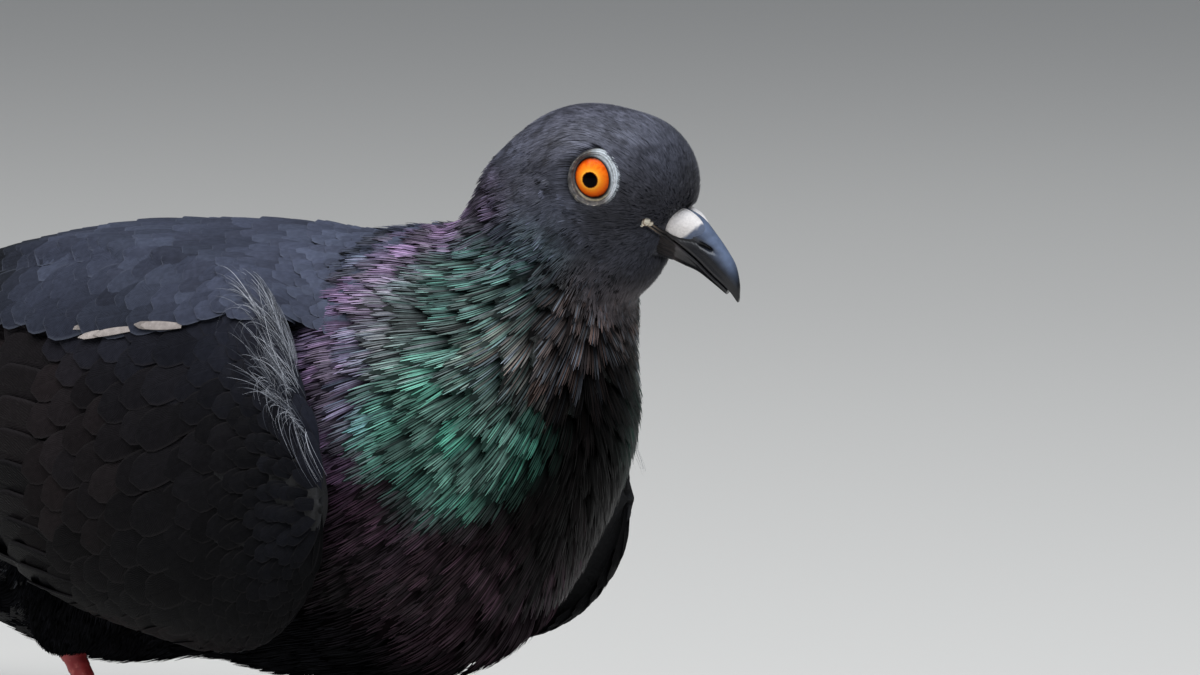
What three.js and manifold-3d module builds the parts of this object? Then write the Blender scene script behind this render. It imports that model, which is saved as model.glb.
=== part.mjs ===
// A feral rock pigeon in dark plumage, life size: a still model that stands in mid step, its neck drawn
// in and its head turned a little to its left. Millimetres, +X forward, +Y the bird's left, +Z up.
// It is laid out in a frame of the body's own, and the finished group is centred over the floor.

import * as THREE from "three";
import { mergeVertices } from "three/addons/utils/BufferGeometryUtils.js";
import Module from "manifold-3d";

const wasm = await Module();
wasm.setup();

// ---------------------------------------------------------------------------------------------------
// Driving sizes

const GAP = 0.3; // clearance between nodes that touch
const FLOOR = 6; // height of the floor in the frame that the body is laid out in

const HEAD_AT = [61, 8, 137]; // between the eyes
const HEAD_YAW = 22; // degrees to the bird's left
const HEAD_PITCH = 16; // degrees, bill down
const EYE_RADIUS = 5;
const EYE_OFFSET = 8.9; // eyeball centre from the head's midline
const EYE_RING_RADIUS = 4.4;
const EYE_RING_THICKNESS = 0.9;
const EYE_RING_OUT = 3.3; // ring's plane outwards from the eyeball's centre
const EYE_RING_TURN = 12; // degrees that the ring faces forward

const TAIL_ROOT = [-86, 0, 91]; // top of the middle tail feathers
const TAIL_SLOPE = 14; // degrees, down to the rear
const TAIL_FEATHER_LENGTH = 116;
const TAIL_FEATHER_WIDTH = 19;
const TAIL_FEATHER_PAIRS = 6;

const LEG_SPREAD = 22; // each foot from the midline
// Where the toes meet, where the hock is, and how far the foot turns out
const LEGS = {
  right: { side: -1, foot: -38, hock: [-57, 41], turn: -8 }, // the trailing leg
  left: { side: 1, foot: 14, hock: [-4, 38], turn: 6 },
};
const TARSUS_RADIUS = 2.2;
const TOE_RADIUS = 2.1;
// Toes of a foot: length, angle outwards from straight ahead, and the claw's length
const TOES = {
  inner: { length: 22, angle: -34, claw: 6.5 },
  middle: { length: 29, angle: 0, claw: 7.5 },
  outer: { length: 23, angle: 32, claw: 6.5 },
  hind: { length: 13, angle: 172, claw: 6.5 },
};

// Cell sizes of the surfaces taken from the body's field
const CELL = { head: 3.12, neck: 5.5, torso: 8.1, thigh: 4.6, tail: 6.6 };

// ---------------------------------------------------------------------------------------------------
// Small helpers

const radians = THREE.MathUtils.degToRad;
const lerp = THREE.MathUtils.lerp;
const clamp = THREE.MathUtils.clamp;

const add = (a, b) => [a[0] + b[0], a[1] + b[1], a[2] + b[2]];
const scaled = (a, k) => [a[0] * k, a[1] * k, a[2] * k];
const minus = (a, b) => [a[0] - b[0], a[1] - b[1], a[2] - b[2]];
const cross = (a, b) => [
  a[1] * b[2] - a[2] * b[1],
  a[2] * b[0] - a[0] * b[2],
  a[0] * b[1] - a[1] * b[0],
];
const unit = (a) => scaled(a, 1 / Math.hypot(...a));

// A smooth curve through [at, value] pairs, given in rising order, flat beyond both ends.
function curveThrough(pairs) {
  const slope = pairs.map((p, i) => {
    const a = pairs[Math.max(i - 1, 0)];
    const b = pairs[Math.min(i + 1, pairs.length - 1)];
    return (b[1] - a[1]) / (b[0] - a[0]);
  });
  return (at) => {
    const last = pairs.length - 1;
    if (at <= pairs[0][0]) return pairs[0][1];
    if (at >= pairs[last][0]) return pairs[last][1];
    const i = pairs.findIndex((p) => p[0] > at) - 1;
    const span = pairs[i + 1][0] - pairs[i][0];
    const t = (at - pairs[i][0]) / span;
    const h = t * t * (3 - 2 * t);
    return (
      lerp(pairs[i][1], pairs[i + 1][1], h) +
      span * slope[i] * t * (1 - t) * (1 - t) -
      span * slope[i + 1] * t * t * (1 - t)
    );
  };
}

// ---------------------------------------------------------------------------------------------------
// Solids

function solidFrom(geometry) {
  geometry.deleteAttribute("normal");
  geometry.deleteAttribute("uv");
  const merged = mergeVertices(geometry, 1e-4);
  return new wasm.Manifold(
    new wasm.Mesh({
      numProp: 3,
      vertProperties: merged.attributes.position.array,
      triVerts: new Uint32Array(merged.index.array),
    }),
  );
}

// A closed surface as a solid, turned to face outwards.
function solidFromFaces(points, faces) {
  const made = (triangles) => {
    const geometry = new THREE.BufferGeometry();
    geometry.setAttribute("position", new THREE.Float32BufferAttribute(points.flat(), 3));
    geometry.setIndex(triangles.flat());
    return solidFrom(geometry);
  };
  const solid = made(faces);
  return solid.volume() > 0 ? solid : made(faces.map(([a, b, c]) => [a, c, b]));
}

function geometryFrom(solid) {
  const mesh = solid.getMesh();
  const geometry = new THREE.BufferGeometry();
  geometry.setAttribute("position", new THREE.BufferAttribute(mesh.vertProperties, 3));
  geometry.setIndex(new THREE.BufferAttribute(mesh.triVerts, 1));
  return geometry;
}

const largest = (solid) =>
  solid.decompose().reduce((best, piece) => (piece.volume() > best.volume() ? piece : best));

const joined = (solids) => solids.reduce((sum, solid) => sum.add(solid));

// A closed tube through rings of equal length. An end closes on its middle point.
function loft(rings) {
  const n = rings[0].length;
  const points = rings.flat();
  const faces = [];
  for (let i = 0; i + 1 < rings.length; i++) {
    for (let j = 0; j < n; j++) {
      const a = i * n + j;
      const b = i * n + ((j + 1) % n);
      faces.push([a, b, b + n], [a, b + n, a + n]);
    }
  }
  const middle = (ring) => scaled(ring.reduce(add), 1 / n);
  const first = points.push(middle(rings[0])) - 1;
  const last = points.push(middle(rings[rings.length - 1])) - 1;
  const top = (rings.length - 1) * n;
  for (let j = 0; j < n; j++) {
    const k = (j + 1) % n;
    faces.push([first, k, j], [last, top + j, top + k]);
  }
  return solidFromFaces(points, faces);
}

// A closed sheet between two grids of points of one shape, split alike on both faces.
function sheet(outer, inner) {
  const rows = outer.length;
  const columns = outer[0].length;
  const points = [...outer.flat(), ...inner.flat()];
  const under = rows * columns;
  const faces = [];
  for (let i = 0; i + 1 < rows; i++) {
    for (let j = 0; j + 1 < columns; j++) {
      const a = i * columns + j;
      const [b, c, d] = [a + 1, a + columns, a + columns + 1];
      faces.push([a, c, d], [a, d, b]);
      faces.push([under + a, under + d, under + c], [under + a, under + b, under + d]);
    }
  }
  const rim = [];
  for (let j = 0; j < columns - 1; j++) rim.push(j);
  for (let i = 0; i < rows - 1; i++) rim.push(i * columns + columns - 1);
  for (let j = columns - 1; j > 0; j--) rim.push((rows - 1) * columns + j);
  for (let i = rows - 1; i > 0; i--) rim.push(i * columns);
  rim.forEach((a, i) => {
    const b = rim[(i + 1) % rim.length];
    faces.push([a, b, under + b], [a, under + b, under + a]);
  });
  return solidFromFaces(points, faces);
}

// Everything on the far side of a plane, as a block to cut away.
function blockBeyond(point, direction) {
  const size = 400;
  const block = new THREE.BoxGeometry(size, size, size);
  block.translate(0, 0, size / 2);
  const turn = new THREE.Quaternion().setFromUnitVectors(
    new THREE.Vector3(0, 0, 1),
    new THREE.Vector3(...unit(direction)),
  );
  block.applyQuaternion(turn);
  block.translate(...point);
  return solidFrom(block);
}

// ---------------------------------------------------------------------------------------------------
// The body's field: rounded masses that flow into one another. It is negative inside, and close to a
// distance in mm near the surface.

function ellipsoid({ at, size, pitch = 0, yaw = 0 }) {
  const [cp, sp] = [Math.cos(radians(pitch)), Math.sin(radians(pitch))];
  const [cy, sy] = [Math.cos(radians(yaw)), Math.sin(radians(yaw))];
  const [rx, ry, rz] = size;
  return (x, y, z) => {
    const dx = x - at[0];
    const dy = y - at[1];
    const dz = z - at[2];
    const forward = cy * dx + sy * dy;
    const a = cp * forward + sp * dz;
    const b = -sy * dx + cy * dy;
    const c = -sp * forward + cp * dz;
    const near = Math.hypot(a / rx, b / ry, c / rz);
    const steep = Math.hypot(a / (rx * rx), b / (ry * ry), c / (rz * rz));
    return steep < 1e-9 ? -Math.min(rx, ry, rz) : (near * (near - 1)) / steep;
  };
}

// The lower of two fields, rounded over a width where they cross.
function softMin(a, b, width) {
  const h = Math.max(width - Math.abs(a - b), 0) / width;
  return Math.min(a, b) - (h * h * width) / 4;
}

function blended(masses, width) {
  const fields = masses.map(ellipsoid);
  return (x, y, z) =>
    fields.map((field) => field(x, y, z)).reduce((a, b) => softMin(a, b, width));
}

// From the head's own level frame, with its origin between the eyes, to the bird's frame.
const headTurn = new THREE.Matrix4()
  .makeTranslation(...HEAD_AT)
  .multiply(new THREE.Matrix4().makeRotationZ(radians(HEAD_YAW)))
  .multiply(new THREE.Matrix4().makeRotationY(radians(HEAD_PITCH)));
const fromHead = (p) => new THREE.Vector3(...p).applyMatrix4(headTurn).toArray();
const headMass = (at, size, tilt = 0) => ({
  at: fromHead(at),
  size,
  pitch: tilt - HEAD_PITCH,
  yaw: HEAD_YAW,
});

const TORSO_MASSES = [
  { at: [25.4, 0, 88.5], size: [36, 36.5, 32] }, // breast
  { at: [20.5, 0, 76], size: [32.6, 33, 39.3] }, // keel
  { at: [-10, 0, 77.5], size: [55, 36, 44], pitch: 5.5 }, // belly
  { at: [-60, 0, 68], size: [54, 27, 37.5], pitch: 8 }, // vent
  { at: [-34, 0, 89.5], size: [61, 26.5, 27.7], pitch: 8.5 }, // back
  { at: [-64, 0, 89.5], size: [53, 21.5, 23], pitch: 13 }, // rump
];
const NECK_MASSES = [
  { at: [27, 1, 96], size: [30.6, 30.6, 27.2] }, // shoulders
  { at: [46, 4, 111.5], size: [17, 20, 18.5], pitch: -20, yaw: 10 }, // neck
  headMass([-10.6, 0, -10.6], [14.2, 12.6, 13]), // nape
];
const HEAD_MASSES = [
  headMass([-1.1, 0, -0.5], [17.3, 14, 12.1]), // crown
  headMass([4.9, 0, 0.1], [9.4, 10.3, 10.6]), // forehead
  headMass([0.5, 0, -6.5], [14.5, 11.5, 8.6], -14), // face
  headMass([5.4, 0, -14.5], [8.4, 8, 8]), // throat
];

const trunkField = blended([...TORSO_MASSES, ...NECK_MASSES], 10);
const headField = blended(HEAD_MASSES, 4);
const bodyField = (x, y, z) => softMin(trunkField(x, y, z), headField(x, y, z), 6);

// The surface where a field is zero, over a box, as a closed solid of about one quad a cell. What
// reaches the box's sides is closed there, to be cut off.
function surfaceOf(field, low, high, cell) {
  const count = low.map((v, i) => Math.ceil((high[i] - v) / cell) + 1);
  const [nx, ny, nz] = count;
  const index = (i, j, k) => (k * ny + j) * nx + i;
  const value = new Float64Array(nx * ny * nz);
  const onSide = (i, j, k) =>
    i === 0 || j === 0 || k === 0 || i === nx - 1 || j === ny - 1 || k === nz - 1;
  const place = (i, j, k) => [low[0] + i * cell, low[1] + j * cell, low[2] + k * cell];
  for (let k = 0; k < nz; k++)
    for (let j = 0; j < ny; j++)
      for (let i = 0; i < nx; i++)
        value[index(i, j, k)] = onSide(i, j, k) ? cell : field(...place(i, j, k));

  const corner = [0, 1].flatMap((c) => [0, 1].flatMap((b) => [0, 1].map((a) => [a, b, c])));
  const edges = corner.flatMap((p, a) =>
    corner.map((q, b) => [a, b, Math.hypot(...minus(p, q))]).filter((e) => e[2] === 1 && a < e[1]),
  );
  const points = [];
  const pointOf = new Map();
  for (let k = 0; k < nz - 1; k++)
    for (let j = 0; j < ny - 1; j++)
      for (let i = 0; i < nx - 1; i++) {
        const v = corner.map(([a, b, c]) => value[index(i + a, j + b, k + c)]);
        const crossings = edges
          .filter(([a, b]) => v[a] < 0 !== v[b] < 0)
          .map(([a, b]) => {
            const t = v[a] / (v[a] - v[b]);
            return corner[a].map((s, axis) => lerp(s, corner[b][axis], t));
          });
        if (!crossings.length) continue;
        const mean = scaled(crossings.reduce(add), 1 / crossings.length);
        let p = add(place(i, j, k), scaled(mean, cell));
        const inner = i > 0 && j > 0 && k > 0 && i < nx - 2 && j < ny - 2 && k < nz - 2;
        if (inner) p = onto(field, p, place(i, j, k), cell);
        pointOf.set(index(i, j, k), points.push(p) - 1);
      }

  const faces = [];
  const step = [1, nx, nx * ny];
  for (let k = 1; k < nz - 1; k++)
    for (let j = 1; j < ny - 1; j++)
      for (let i = 1; i < nx - 1; i++) {
        const here = index(i, j, k);
        for (let axis = 0; axis < 3; axis++) {
          const inside = value[here] < 0;
          if (inside === value[here + step[axis]] < 0) continue;
          const [u, v] = [step[(axis + 1) % 3], step[(axis + 2) % 3]];
          const quad = [here, here - u, here - u - v, here - v].map((c) => pointOf.get(c));
          if (!inside) quad.reverse();
          faces.push([quad[0], quad[1], quad[2]], [quad[0], quad[2], quad[3]]);
        }
        // an edge that leaves the first layer along an axis
        for (let axis = 0; axis < 3; axis++) {
          const before = here - step[axis];
          const isFirst = [i, j, k][axis] === 1;
          if (!isFirst || value[before] < 0 === value[here] < 0) continue;
          const [u, v] = [step[(axis + 1) % 3], step[(axis + 2) % 3]];
          const quad = [before, before - u, before - u - v, before - v].map((c) => pointOf.get(c));
          if (value[here] < 0) quad.reverse();
          faces.push([quad[0], quad[1], quad[2]], [quad[0], quad[2], quad[3]]);
        }
      }
  return solidFromFaces(points, faces);
}

// A point moved along the field's slope onto its zero, but kept inside its own cell.
function onto(field, start, cellLow, cell) {
  const e = 0.05;
  let p = start;
  for (let pass = 0; pass < 3; pass++) {
    const slope = [0, 1, 2].map((axis) => {
      const ahead = p.map((v, i) => (i === axis ? v + e : v));
      const behind = p.map((v, i) => (i === axis ? v - e : v));
      return (field(...ahead) - field(...behind)) / (2 * e);
    });
    const steep = Math.max(slope[0] ** 2 + slope[1] ** 2 + slope[2] ** 2, 0.2);
    p = minus(p, scaled(slope, field(...p) / steep));
  }
  return p.map((v, i) => clamp(v, cellLow[i] + 0.02 * cell, cellLow[i] + 0.98 * cell));
}

// ---------------------------------------------------------------------------------------------------
// Head, neck and torso: one body, parted by two flat cuts

const HEAD_CUT = { at: fromHead([-9, 0, -17]), toward: [0.55, 0.1, 0.84] };
const NECK_CUT = { at: [24, 0, 104], toward: [0.72, 0, 0.69] };

function between(solid, below, above) {
  let piece = solid;
  if (below) piece = piece.subtract(blockBeyond(below.at, scaled(below.toward, -1)));
  if (above) {
    const lowered = add(above.at, scaled(unit(above.toward), -GAP));
    piece = piece.subtract(blockBeyond(lowered, above.toward));
  }
  return largest(piece);
}

const HEAD_BOX = [
  [20, -22, 96],
  [90, 36, 156],
];
const NECK_BOX = [
  [-10, -44, 62],
  [88, 44, 150],
];
const TORSO_BOX = [
  [-126, -50, 24],
  [78, 50, 140],
];

// What another node is cut with, so that it keeps the gap: a surface grown by a little more than GAP,
// because flat facets cut corners where the surface is tightly curved.
const CUT_GROWTH = 0.42;
const grownSurface = (field, box, cell) =>
  surfaceOf((x, y, z) => field(x, y, z) - CUT_GROWTH, ...box, cell);

let head = between(surfaceOf(bodyField, ...HEAD_BOX, CELL.head), HEAD_CUT, null);
const neck = between(surfaceOf(bodyField, ...NECK_BOX, CELL.neck), NECK_CUT, HEAD_CUT);
const torso = between(surfaceOf(bodyField, ...TORSO_BOX, CELL.torso), null, NECK_CUT);

// ---------------------------------------------------------------------------------------------------
// Bill: two mandibles that meet along the mouth line, with the swollen cere over the upper one's base.
// Sizes are in the head's own frame: [along X, height] down the bill.

const BILL_RIDGE = curveThrough([
  [8, -2.6],
  [14, -2.4],
  [18.5, -3.1],
  [22.4, -5.5],
  [25.3, -7.7],
  [27.6, -9.9],
  [29.3, -13],
  [29.9, -15.2],
]);
const MOUTH_LINE = curveThrough([
  [6, -5],
  [9.6, -6],
  [13.9, -7.6],
  [17.2, -9],
  [20.8, -10.6],
  [23.7, -12.2],
  [27.8, -14.4],
  [29.9, -16.3],
]);
const BILL_KEEL = curveThrough([
  [8, -10.6],
  [14, -12.1],
  [18, -12.7],
  [21, -13],
  [24, -14],
  [28, -15.6],
]);
const BILL_HALF_WIDTH = curveThrough([
  [8, 4.6],
  [14, 4.2],
  [18, 3.2],
  [23, 2.5],
  [27, 1.8],
  [29.9, 0.5],
]);
const UPPER_BILL = { from: 9, to: 29.9, steps: 9 };
const LOWER_BILL = { from: 9, to: 27.4, steps: 7 };
const BILL_SIDES = 10;
const CERE_LOBE = { at: [16.3, 2.4, -4.8], size: [5, 2.8, 2.6], pitch: -5 };
const NOSTRIL = { at: [21.3, 2.9, -7.7], size: [2.2, 0.8, 0.5], pitch: 0 };

// A ring across the bill between a low and a high line, flat on the side of the mouth.
function billRing(x, low, high, halfWidth, flatSide) {
  return Array.from({ length: BILL_SIDES }, (_, j) => {
    const angle = (2 * Math.PI * (j + 0.5)) / BILL_SIDES;
    const middle = flatSide > 0 ? high : low;
    const reach = Math.abs(Math.sin(angle)) ** 0.8 * (high - low);
    const isFlat = Math.sin(angle) * flatSide > 0;
    const z = middle - flatSide * (isFlat ? 0 : reach);
    const y = halfWidth * Math.sign(Math.cos(angle)) * Math.abs(Math.cos(angle)) ** 0.75;
    return [x, -y * (isFlat ? 0.96 : 1), z];
  });
}

function mandible({ from, to, steps }, low, high, width, flatSide) {
  const rings = [];
  for (let i = 0; i <= steps; i++) {
    const x = lerp(from, to, Math.sin((i / steps) * (Math.PI / 2)) ** 0.9);
    rings.push(billRing(x, low(x), Math.max(high(x), low(x) + 0.4), width(x), flatSide));
  }
  return loft(rings.map((ring) => ring.map(fromHead)));
}

const headBlob = (blob, grow = 0) => {
  const ball = new THREE.SphereGeometry(1, 12, 8);
  ball.scale(...blob.size.map((r) => r + grow));
  ball.rotateY(radians(-(blob.pitch ?? 0)));
  ball.translate(...blob.at);
  ball.applyMatrix4(headTurn);
  return solidFrom(ball);
};
const mirrored = (blob) => ({ ...blob, at: [blob.at[0], -blob.at[1], blob.at[2]] });
const bothSides = (blob, grow = 0) => headBlob(blob, grow).add(headBlob(mirrored(blob), grow));

const upperRaw = mandible(UPPER_BILL, (x) => MOUTH_LINE(x) + GAP / 2, BILL_RIDGE, BILL_HALF_WIDTH, -1);
const lowerRaw = mandible(
  LOWER_BILL,
  BILL_KEEL,
  (x) => MOUTH_LINE(x) - GAP / 2,
  (x) => BILL_HALF_WIDTH(x) * 0.9,
  1,
);
const headBulk = grownSurface(bodyField, HEAD_BOX, CELL.head);
const cere = largest(bothSides(CERE_LOBE).subtract(headBulk));
const upperBill = largest(
  upperRaw.subtract(headBulk).subtract(bothSides(CERE_LOBE, GAP)).subtract(bothSides(NOSTRIL)),
);
const lowerBill = largest(lowerRaw.subtract(headBulk));

// The mouth line goes on into the cheek as a thin groove, up to the gape.
const GAPE = { stations: [6.2, 9, 12, 15], reach: 12, half: 0.22 };
function gapeGroove() {
  const face = (lift) =>
    [-GAPE.reach, GAPE.reach].map((y) =>
      GAPE.stations.map((x) => fromHead([x, y, MOUTH_LINE(x) + lift])),
    );
  return sheet(face(GAPE.half), face(-GAPE.half));
}

// ---------------------------------------------------------------------------------------------------
// Eyes, each in a bare ring of skin that stands a little proud of the face

const eyeAt = (side) => [0, side * EYE_OFFSET, 0];
function eyeball(side, grow = 0) {
  const ball = new THREE.SphereGeometry(EYE_RADIUS + grow, 12, 8);
  ball.translate(...eyeAt(side));
  ball.applyMatrix4(headTurn);
  return solidFrom(ball);
}
function eyeRing(side) {
  const ring = new THREE.TorusGeometry(EYE_RING_RADIUS, EYE_RING_THICKNESS, 6, 18);
  ring.scale(1, 1.06, 1);
  ring.rotateX(Math.PI / 2);
  ring.rotateZ(radians(side * -EYE_RING_TURN));
  ring.translate(0, side * (EYE_OFFSET + EYE_RING_OUT), 0);
  ring.applyMatrix4(headTurn);
  return solidFrom(ring);
}
head = head.add(eyeRing(-1)).add(eyeRing(1));
head = head.subtract(eyeball(-1, GAP)).subtract(eyeball(1, GAP)).subtract(gapeGroove());
head = largest(head);

// ---------------------------------------------------------------------------------------------------
// Wings: a core folded against the flank, and tiers of feathers that lie along it. The surface that
// carries them is found from X and an angle, 90 degrees at the wing's top edge and -90 at its lower.

const WING = {
  front: 32.5,
  widest: -4,
  middle: curveThrough([
    [-170, 77],
    [-140, 84],
    [-120, 87.5],
    [-100, 86.5],
    [-80, 84.5],
    [-40, 82],
    [-4, 80],
    [9, 79.5],
    [25, 77.5],
    [32.5, 76.5],
  ]),
  halfHeight: curveThrough([
    [-170, 4],
    [-140, 5],
    [-120, 7],
    [-100, 14],
    [-80, 23.5],
    [-40, 32.5],
    [-4, 34.5],
  ]),
  lowInset: curveThrough([
    [-170, 12],
    [-140, 17],
    [-120, 22.5],
    [-100, 26],
    [-80, 28],
    [-40, 31],
    [-4, 34],
    [14, 38.5],
    [32.5, 41.5],
  ]),
  topInset: curveThrough([
    [-170, 6],
    [-120, 7.5],
    [-80, 11],
    [-40, 18.5],
    [-4, 27],
    [10, 33],
    [22, 38],
    [32.5, 41],
  ]),
  bulge: curveThrough([
    [-170, 2],
    [-120, 5],
    [-80, 11],
    [-40, 15],
    [-4, 13],
    [10, 8],
    [22, 4.2],
    [32.5, 1.5],
  ]),
};

function wingPoint(x, angle, lift = 0) {
  const at = (px, a) => {
    const toNose = clamp((px - WING.widest) / (WING.front - WING.widest), 0, 0.998);
    const half = WING.halfHeight(px) * (1 - toNose ** 2) ** 0.65;
    const up = Math.sin(radians(a));
    const y =
      lerp(WING.lowInset(px), WING.topInset(px), (up + 1) / 2) +
      WING.bulge(px) * Math.cos(radians(a));
    return [px, -y, WING.middle(px) + half * up];
  };
  const along = minus(at(x - 0.5, angle), at(x + 0.5, angle));
  const across = minus(at(x, angle + 1), at(x, angle - 1));
  return add(at(x, angle), scaled(unit(cross(across, along)), lift));
}

// The core: as thick as the folded arm at the wrist, thinning to the rear, under all the feathers.
const CORE_LIFT = curveThrough([
  [-104, -3],
  [-70, -1.6],
  [-20, -0.4],
  [10, 1.4],
  [24, 1.4],
  [32.5, 0.3],
]);
const CORE_DEPTH = curveThrough([
  [-104, 2],
  [-60, 7],
  [-20, 9],
]);
const CORE_EDGE = 1.4;

function wingCore() {
  const stations = [32, 30.4, 27, 18, 4, -17, -44, -74, -104];
  const angles = [-90, -66, -38, 0, 38, 66, 90];
  const face = (sink) =>
    stations.map((x, i) =>
      angles.map((a) => {
        const depth = CORE_EDGE + CORE_DEPTH(x) * Math.cos(radians(a)) * (i < 2 ? 0.4 : 1);
        return wingPoint(x, a, CORE_LIFT(x) - sink * depth);
      }),
    );
  return sheet(face(0), face(1));
}

// A tier of feathers, each a thin plate of its own. It rises from a root sunk in the core to its free
// end, and is tilted so that its lower edge lies over the next feather below, about GAP clear of it.
// `angles` and `tips` run from the lowest feather to the highest. `rest` is the height of the free
// ends above the surface that carries them.
const VANE_THICK = 0.7;
const VANE_TILT = 1.15; // fall across the distance from one feather to the next
const VANE_HALF_WIDTH = 0.72; // as a share of that distance
const ROOT_SINK = 2.2;
const VANE_ROOT = { along: 0, width: 0.8, round: 0 };
const VANE_TIP = { along: 1, width: 0.5, round: 1 };
const LONG_VANE = [
  VANE_ROOT,
  { along: 0.4, width: 1, round: 0 },
  { along: 0.82, width: 0.95, round: 0 },
  VANE_TIP,
];
const SHORT_VANE = [VANE_ROOT, { along: 0.72, width: 1, round: 0 }, VANE_TIP];

function wingVane({ angle, pitch, root, tip, rest, round, rows }) {
  const start = CORE_LIFT(root) - ROOT_SINK;
  const face = (depth) =>
    rows.map((row) =>
      [-1, 0, 1].map((side) => {
        const across = side * VANE_HALF_WIDTH * row.width;
        const x = lerp(root, tip, row.along) + Math.abs(side) * row.round * round;
        const lift = lerp(start, rest, 1 - (1 - row.along) ** 2) - across * VANE_TILT;
        return wingPoint(x, angle + across * pitch, lift - depth);
      }),
    );
  return sheet(face(0), face(VANE_THICK));
}

function wingTier({ count, angles, roots, tips, rest, round, rows }) {
  const pitch = (angles[1] - angles[0]) / count;
  return Array.from({ length: count }, (_, i) => {
    const up = count > 1 ? i / (count - 1) : 0;
    return wingVane({
      angle: angles[0] + (i + 0.5) * pitch,
      pitch,
      root: lerp(roots[0], roots[1], up),
      tip: lerp(tips[0], tips[1], up),
      rest,
      round,
      rows,
    });
  });
}

const tier = (rows, count, angles, roots, tips, rest, round) => ({
  rows,
  count,
  angles,
  roots,
  tips,
  rest,
  round,
});
const WING_TIERS = {
  medianCoverts: tier(SHORT_VANE, 6, [-80, 80], [20, 10], [-14, -24], 2.6, 6),
  greaterCoverts: tier(SHORT_VANE, 8, [-80, 80], [-3, -9], [-40, -56], 2.4, 5),
  secondaries: tier(LONG_VANE, 7, [-80, 40], [-28, -34], [-80, -108], 1.2, 5),
  tertials: tier(LONG_VANE, 3, [40, 88], [-30, -36], [-116, -94], 1.2, 8),
  primaries: tier(LONG_VANE, 6, [-78, 50], [-72, -78], [-168, -126], -1.2, 5),
};

const torsoBulk = grownSurface(bodyField, TORSO_BOX, CELL.torso);
const neckBulk = grownSurface(bodyField, NECK_BOX, CELL.neck);

// ---------------------------------------------------------------------------------------------------
// Tail: twelve feathers in a closed fan, the middle pair on top, their roots deep in the tail coverts

function fromTail([back, side, up]) {
  const [c, s] = [Math.cos(radians(TAIL_SLOPE)), Math.sin(radians(TAIL_SLOPE))];
  return add(TAIL_ROOT, [-back * c - up * s, side, -back * s + up * c]);
}

const TAIL_COVERTS = [
  { at: fromTail([16, 0, -6]), size: [42, 18, 10], pitch: TAIL_SLOPE },
  { at: fromTail([12, 0, -14]), size: [44, 15, 10], pitch: TAIL_SLOPE - 3 },
];
const TAIL_BOX = [
  [-152, -26, 52],
  [-56, 26, 112],
];
const TAIL_STATIONS = [0, 0.6, 0.9, 0.97, 1];
const TAIL_SHAPE = [0.5, 0.95, 1, 0.72, 0.3];
const TAIL_LAYER = 0.5; // each feather's drop below the one it lies under
const TAIL_VANE_THICK = 0.8;
const TAIL_TURN = 0.85; // degrees between one feather and the next
const TAIL_ROOT_STEP = 1.7; // mm between their roots
const TAIL_SINK = 3; // top of the fan below the top of the tail coverts' root

function tailFeather(order, side) {
  const turn = radians(side * (TAIL_TURN * (order + 0.5)));
  const start = side * TAIL_ROOT_STEP * (order + 0.5);
  const layer = -TAIL_LAYER * (2 * order + (side > 0 ? 1 : 0));
  const reach = TAIL_FEATHER_LENGTH - 0.5 * order * order;
  const faces = [layer, layer - TAIL_VANE_THICK].map((up) =>
    TAIL_STATIONS.map((t, i) => {
      const along = lerp(-6, reach, t);
      const half = (TAIL_SHAPE[i] * TAIL_FEATHER_WIDTH) / 2;
      return [-half, half].map((across) => {
        const back = along * Math.cos(turn) - across * Math.sin(turn);
        const out = start + along * Math.sin(turn) + across * Math.cos(turn);
        return fromTail([back, out, up - TAIL_SINK]);
      });
    }),
  );
  return sheet(faces[0], faces[1]);
}

// The room that the closed fan takes up, grown by the gap, to cut the wings with.
function tailRoom() {
  const top = GAP - TAIL_SINK;
  const bottom = -TAIL_SINK - TAIL_LAYER * 2 * TAIL_FEATHER_PAIRS - TAIL_VANE_THICK;
  const fanned = (along) => TAIL_FEATHER_PAIRS * (TAIL_ROOT_STEP + along * radians(TAIL_TURN));
  const half = (along) => TAIL_FEATHER_WIDTH / 2 + fanned(along) + GAP;
  const face = (up) =>
    [-6, TAIL_FEATHER_LENGTH].map((along) =>
      [-half(along), half(along)].map((side) => fromTail([along, side, up])),
    );
  return sheet(face(top), face(bottom));
}

const tailCoverts = blended(TAIL_COVERTS, 6);
const tailFeathers = [];
for (let order = 0; order < TAIL_FEATHER_PAIRS; order++) {
  tailFeathers.push(tailFeather(order, -1), tailFeather(order, 1));
}
const tail = largest(
  joined([surfaceOf(tailCoverts, ...TAIL_BOX, CELL.tail), ...tailFeathers]).subtract(torsoBulk),
);

// ---------------------------------------------------------------------------------------------------
// Legs: a feathered thigh down to the hock, and a bare foot of tarsus, four toes and their claws

const HOCK_RADIUS = 3.1;
const FOOT_JOINT_RADIUS = 2.9;
const FOOT_JOINT_HEIGHT = FLOOR + 4.6;
const SOLE_SINK = 0.45; // how far the toes' round undersides would reach below the floor

// A round tube along a path of points with a radius at each.
function tube(path, radii, sides) {
  const rings = path.map((p, i) => {
    const ahead = path[Math.min(i + 1, path.length - 1)];
    const way = unit(minus(ahead, path[Math.max(i - 1, 0)]));
    const level = Math.abs(way[2]) > 0.9 ? [0, 1, 0] : [0, 0, 1];
    const u = unit(cross(way, level));
    const v = cross(way, u);
    return Array.from({ length: sides }, (_, j) => {
      const angle = (2 * Math.PI * (j + 0.5)) / sides;
      const spread = add(scaled(u, Math.cos(angle)), scaled(v, Math.sin(angle)));
      return add(p, scaled(spread, radii[i]));
    });
  });
  return loft(rings);
}

const jointOf = (leg) => [leg.foot, leg.side * LEG_SPREAD, FOOT_JOINT_HEIGHT];
const hockOf = (leg) => [leg.hock[0], leg.side * LEG_SPREAD, leg.hock[1]];
const shankOf = (leg) => unit(minus(hockOf(leg), jointOf(leg)));

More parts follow.
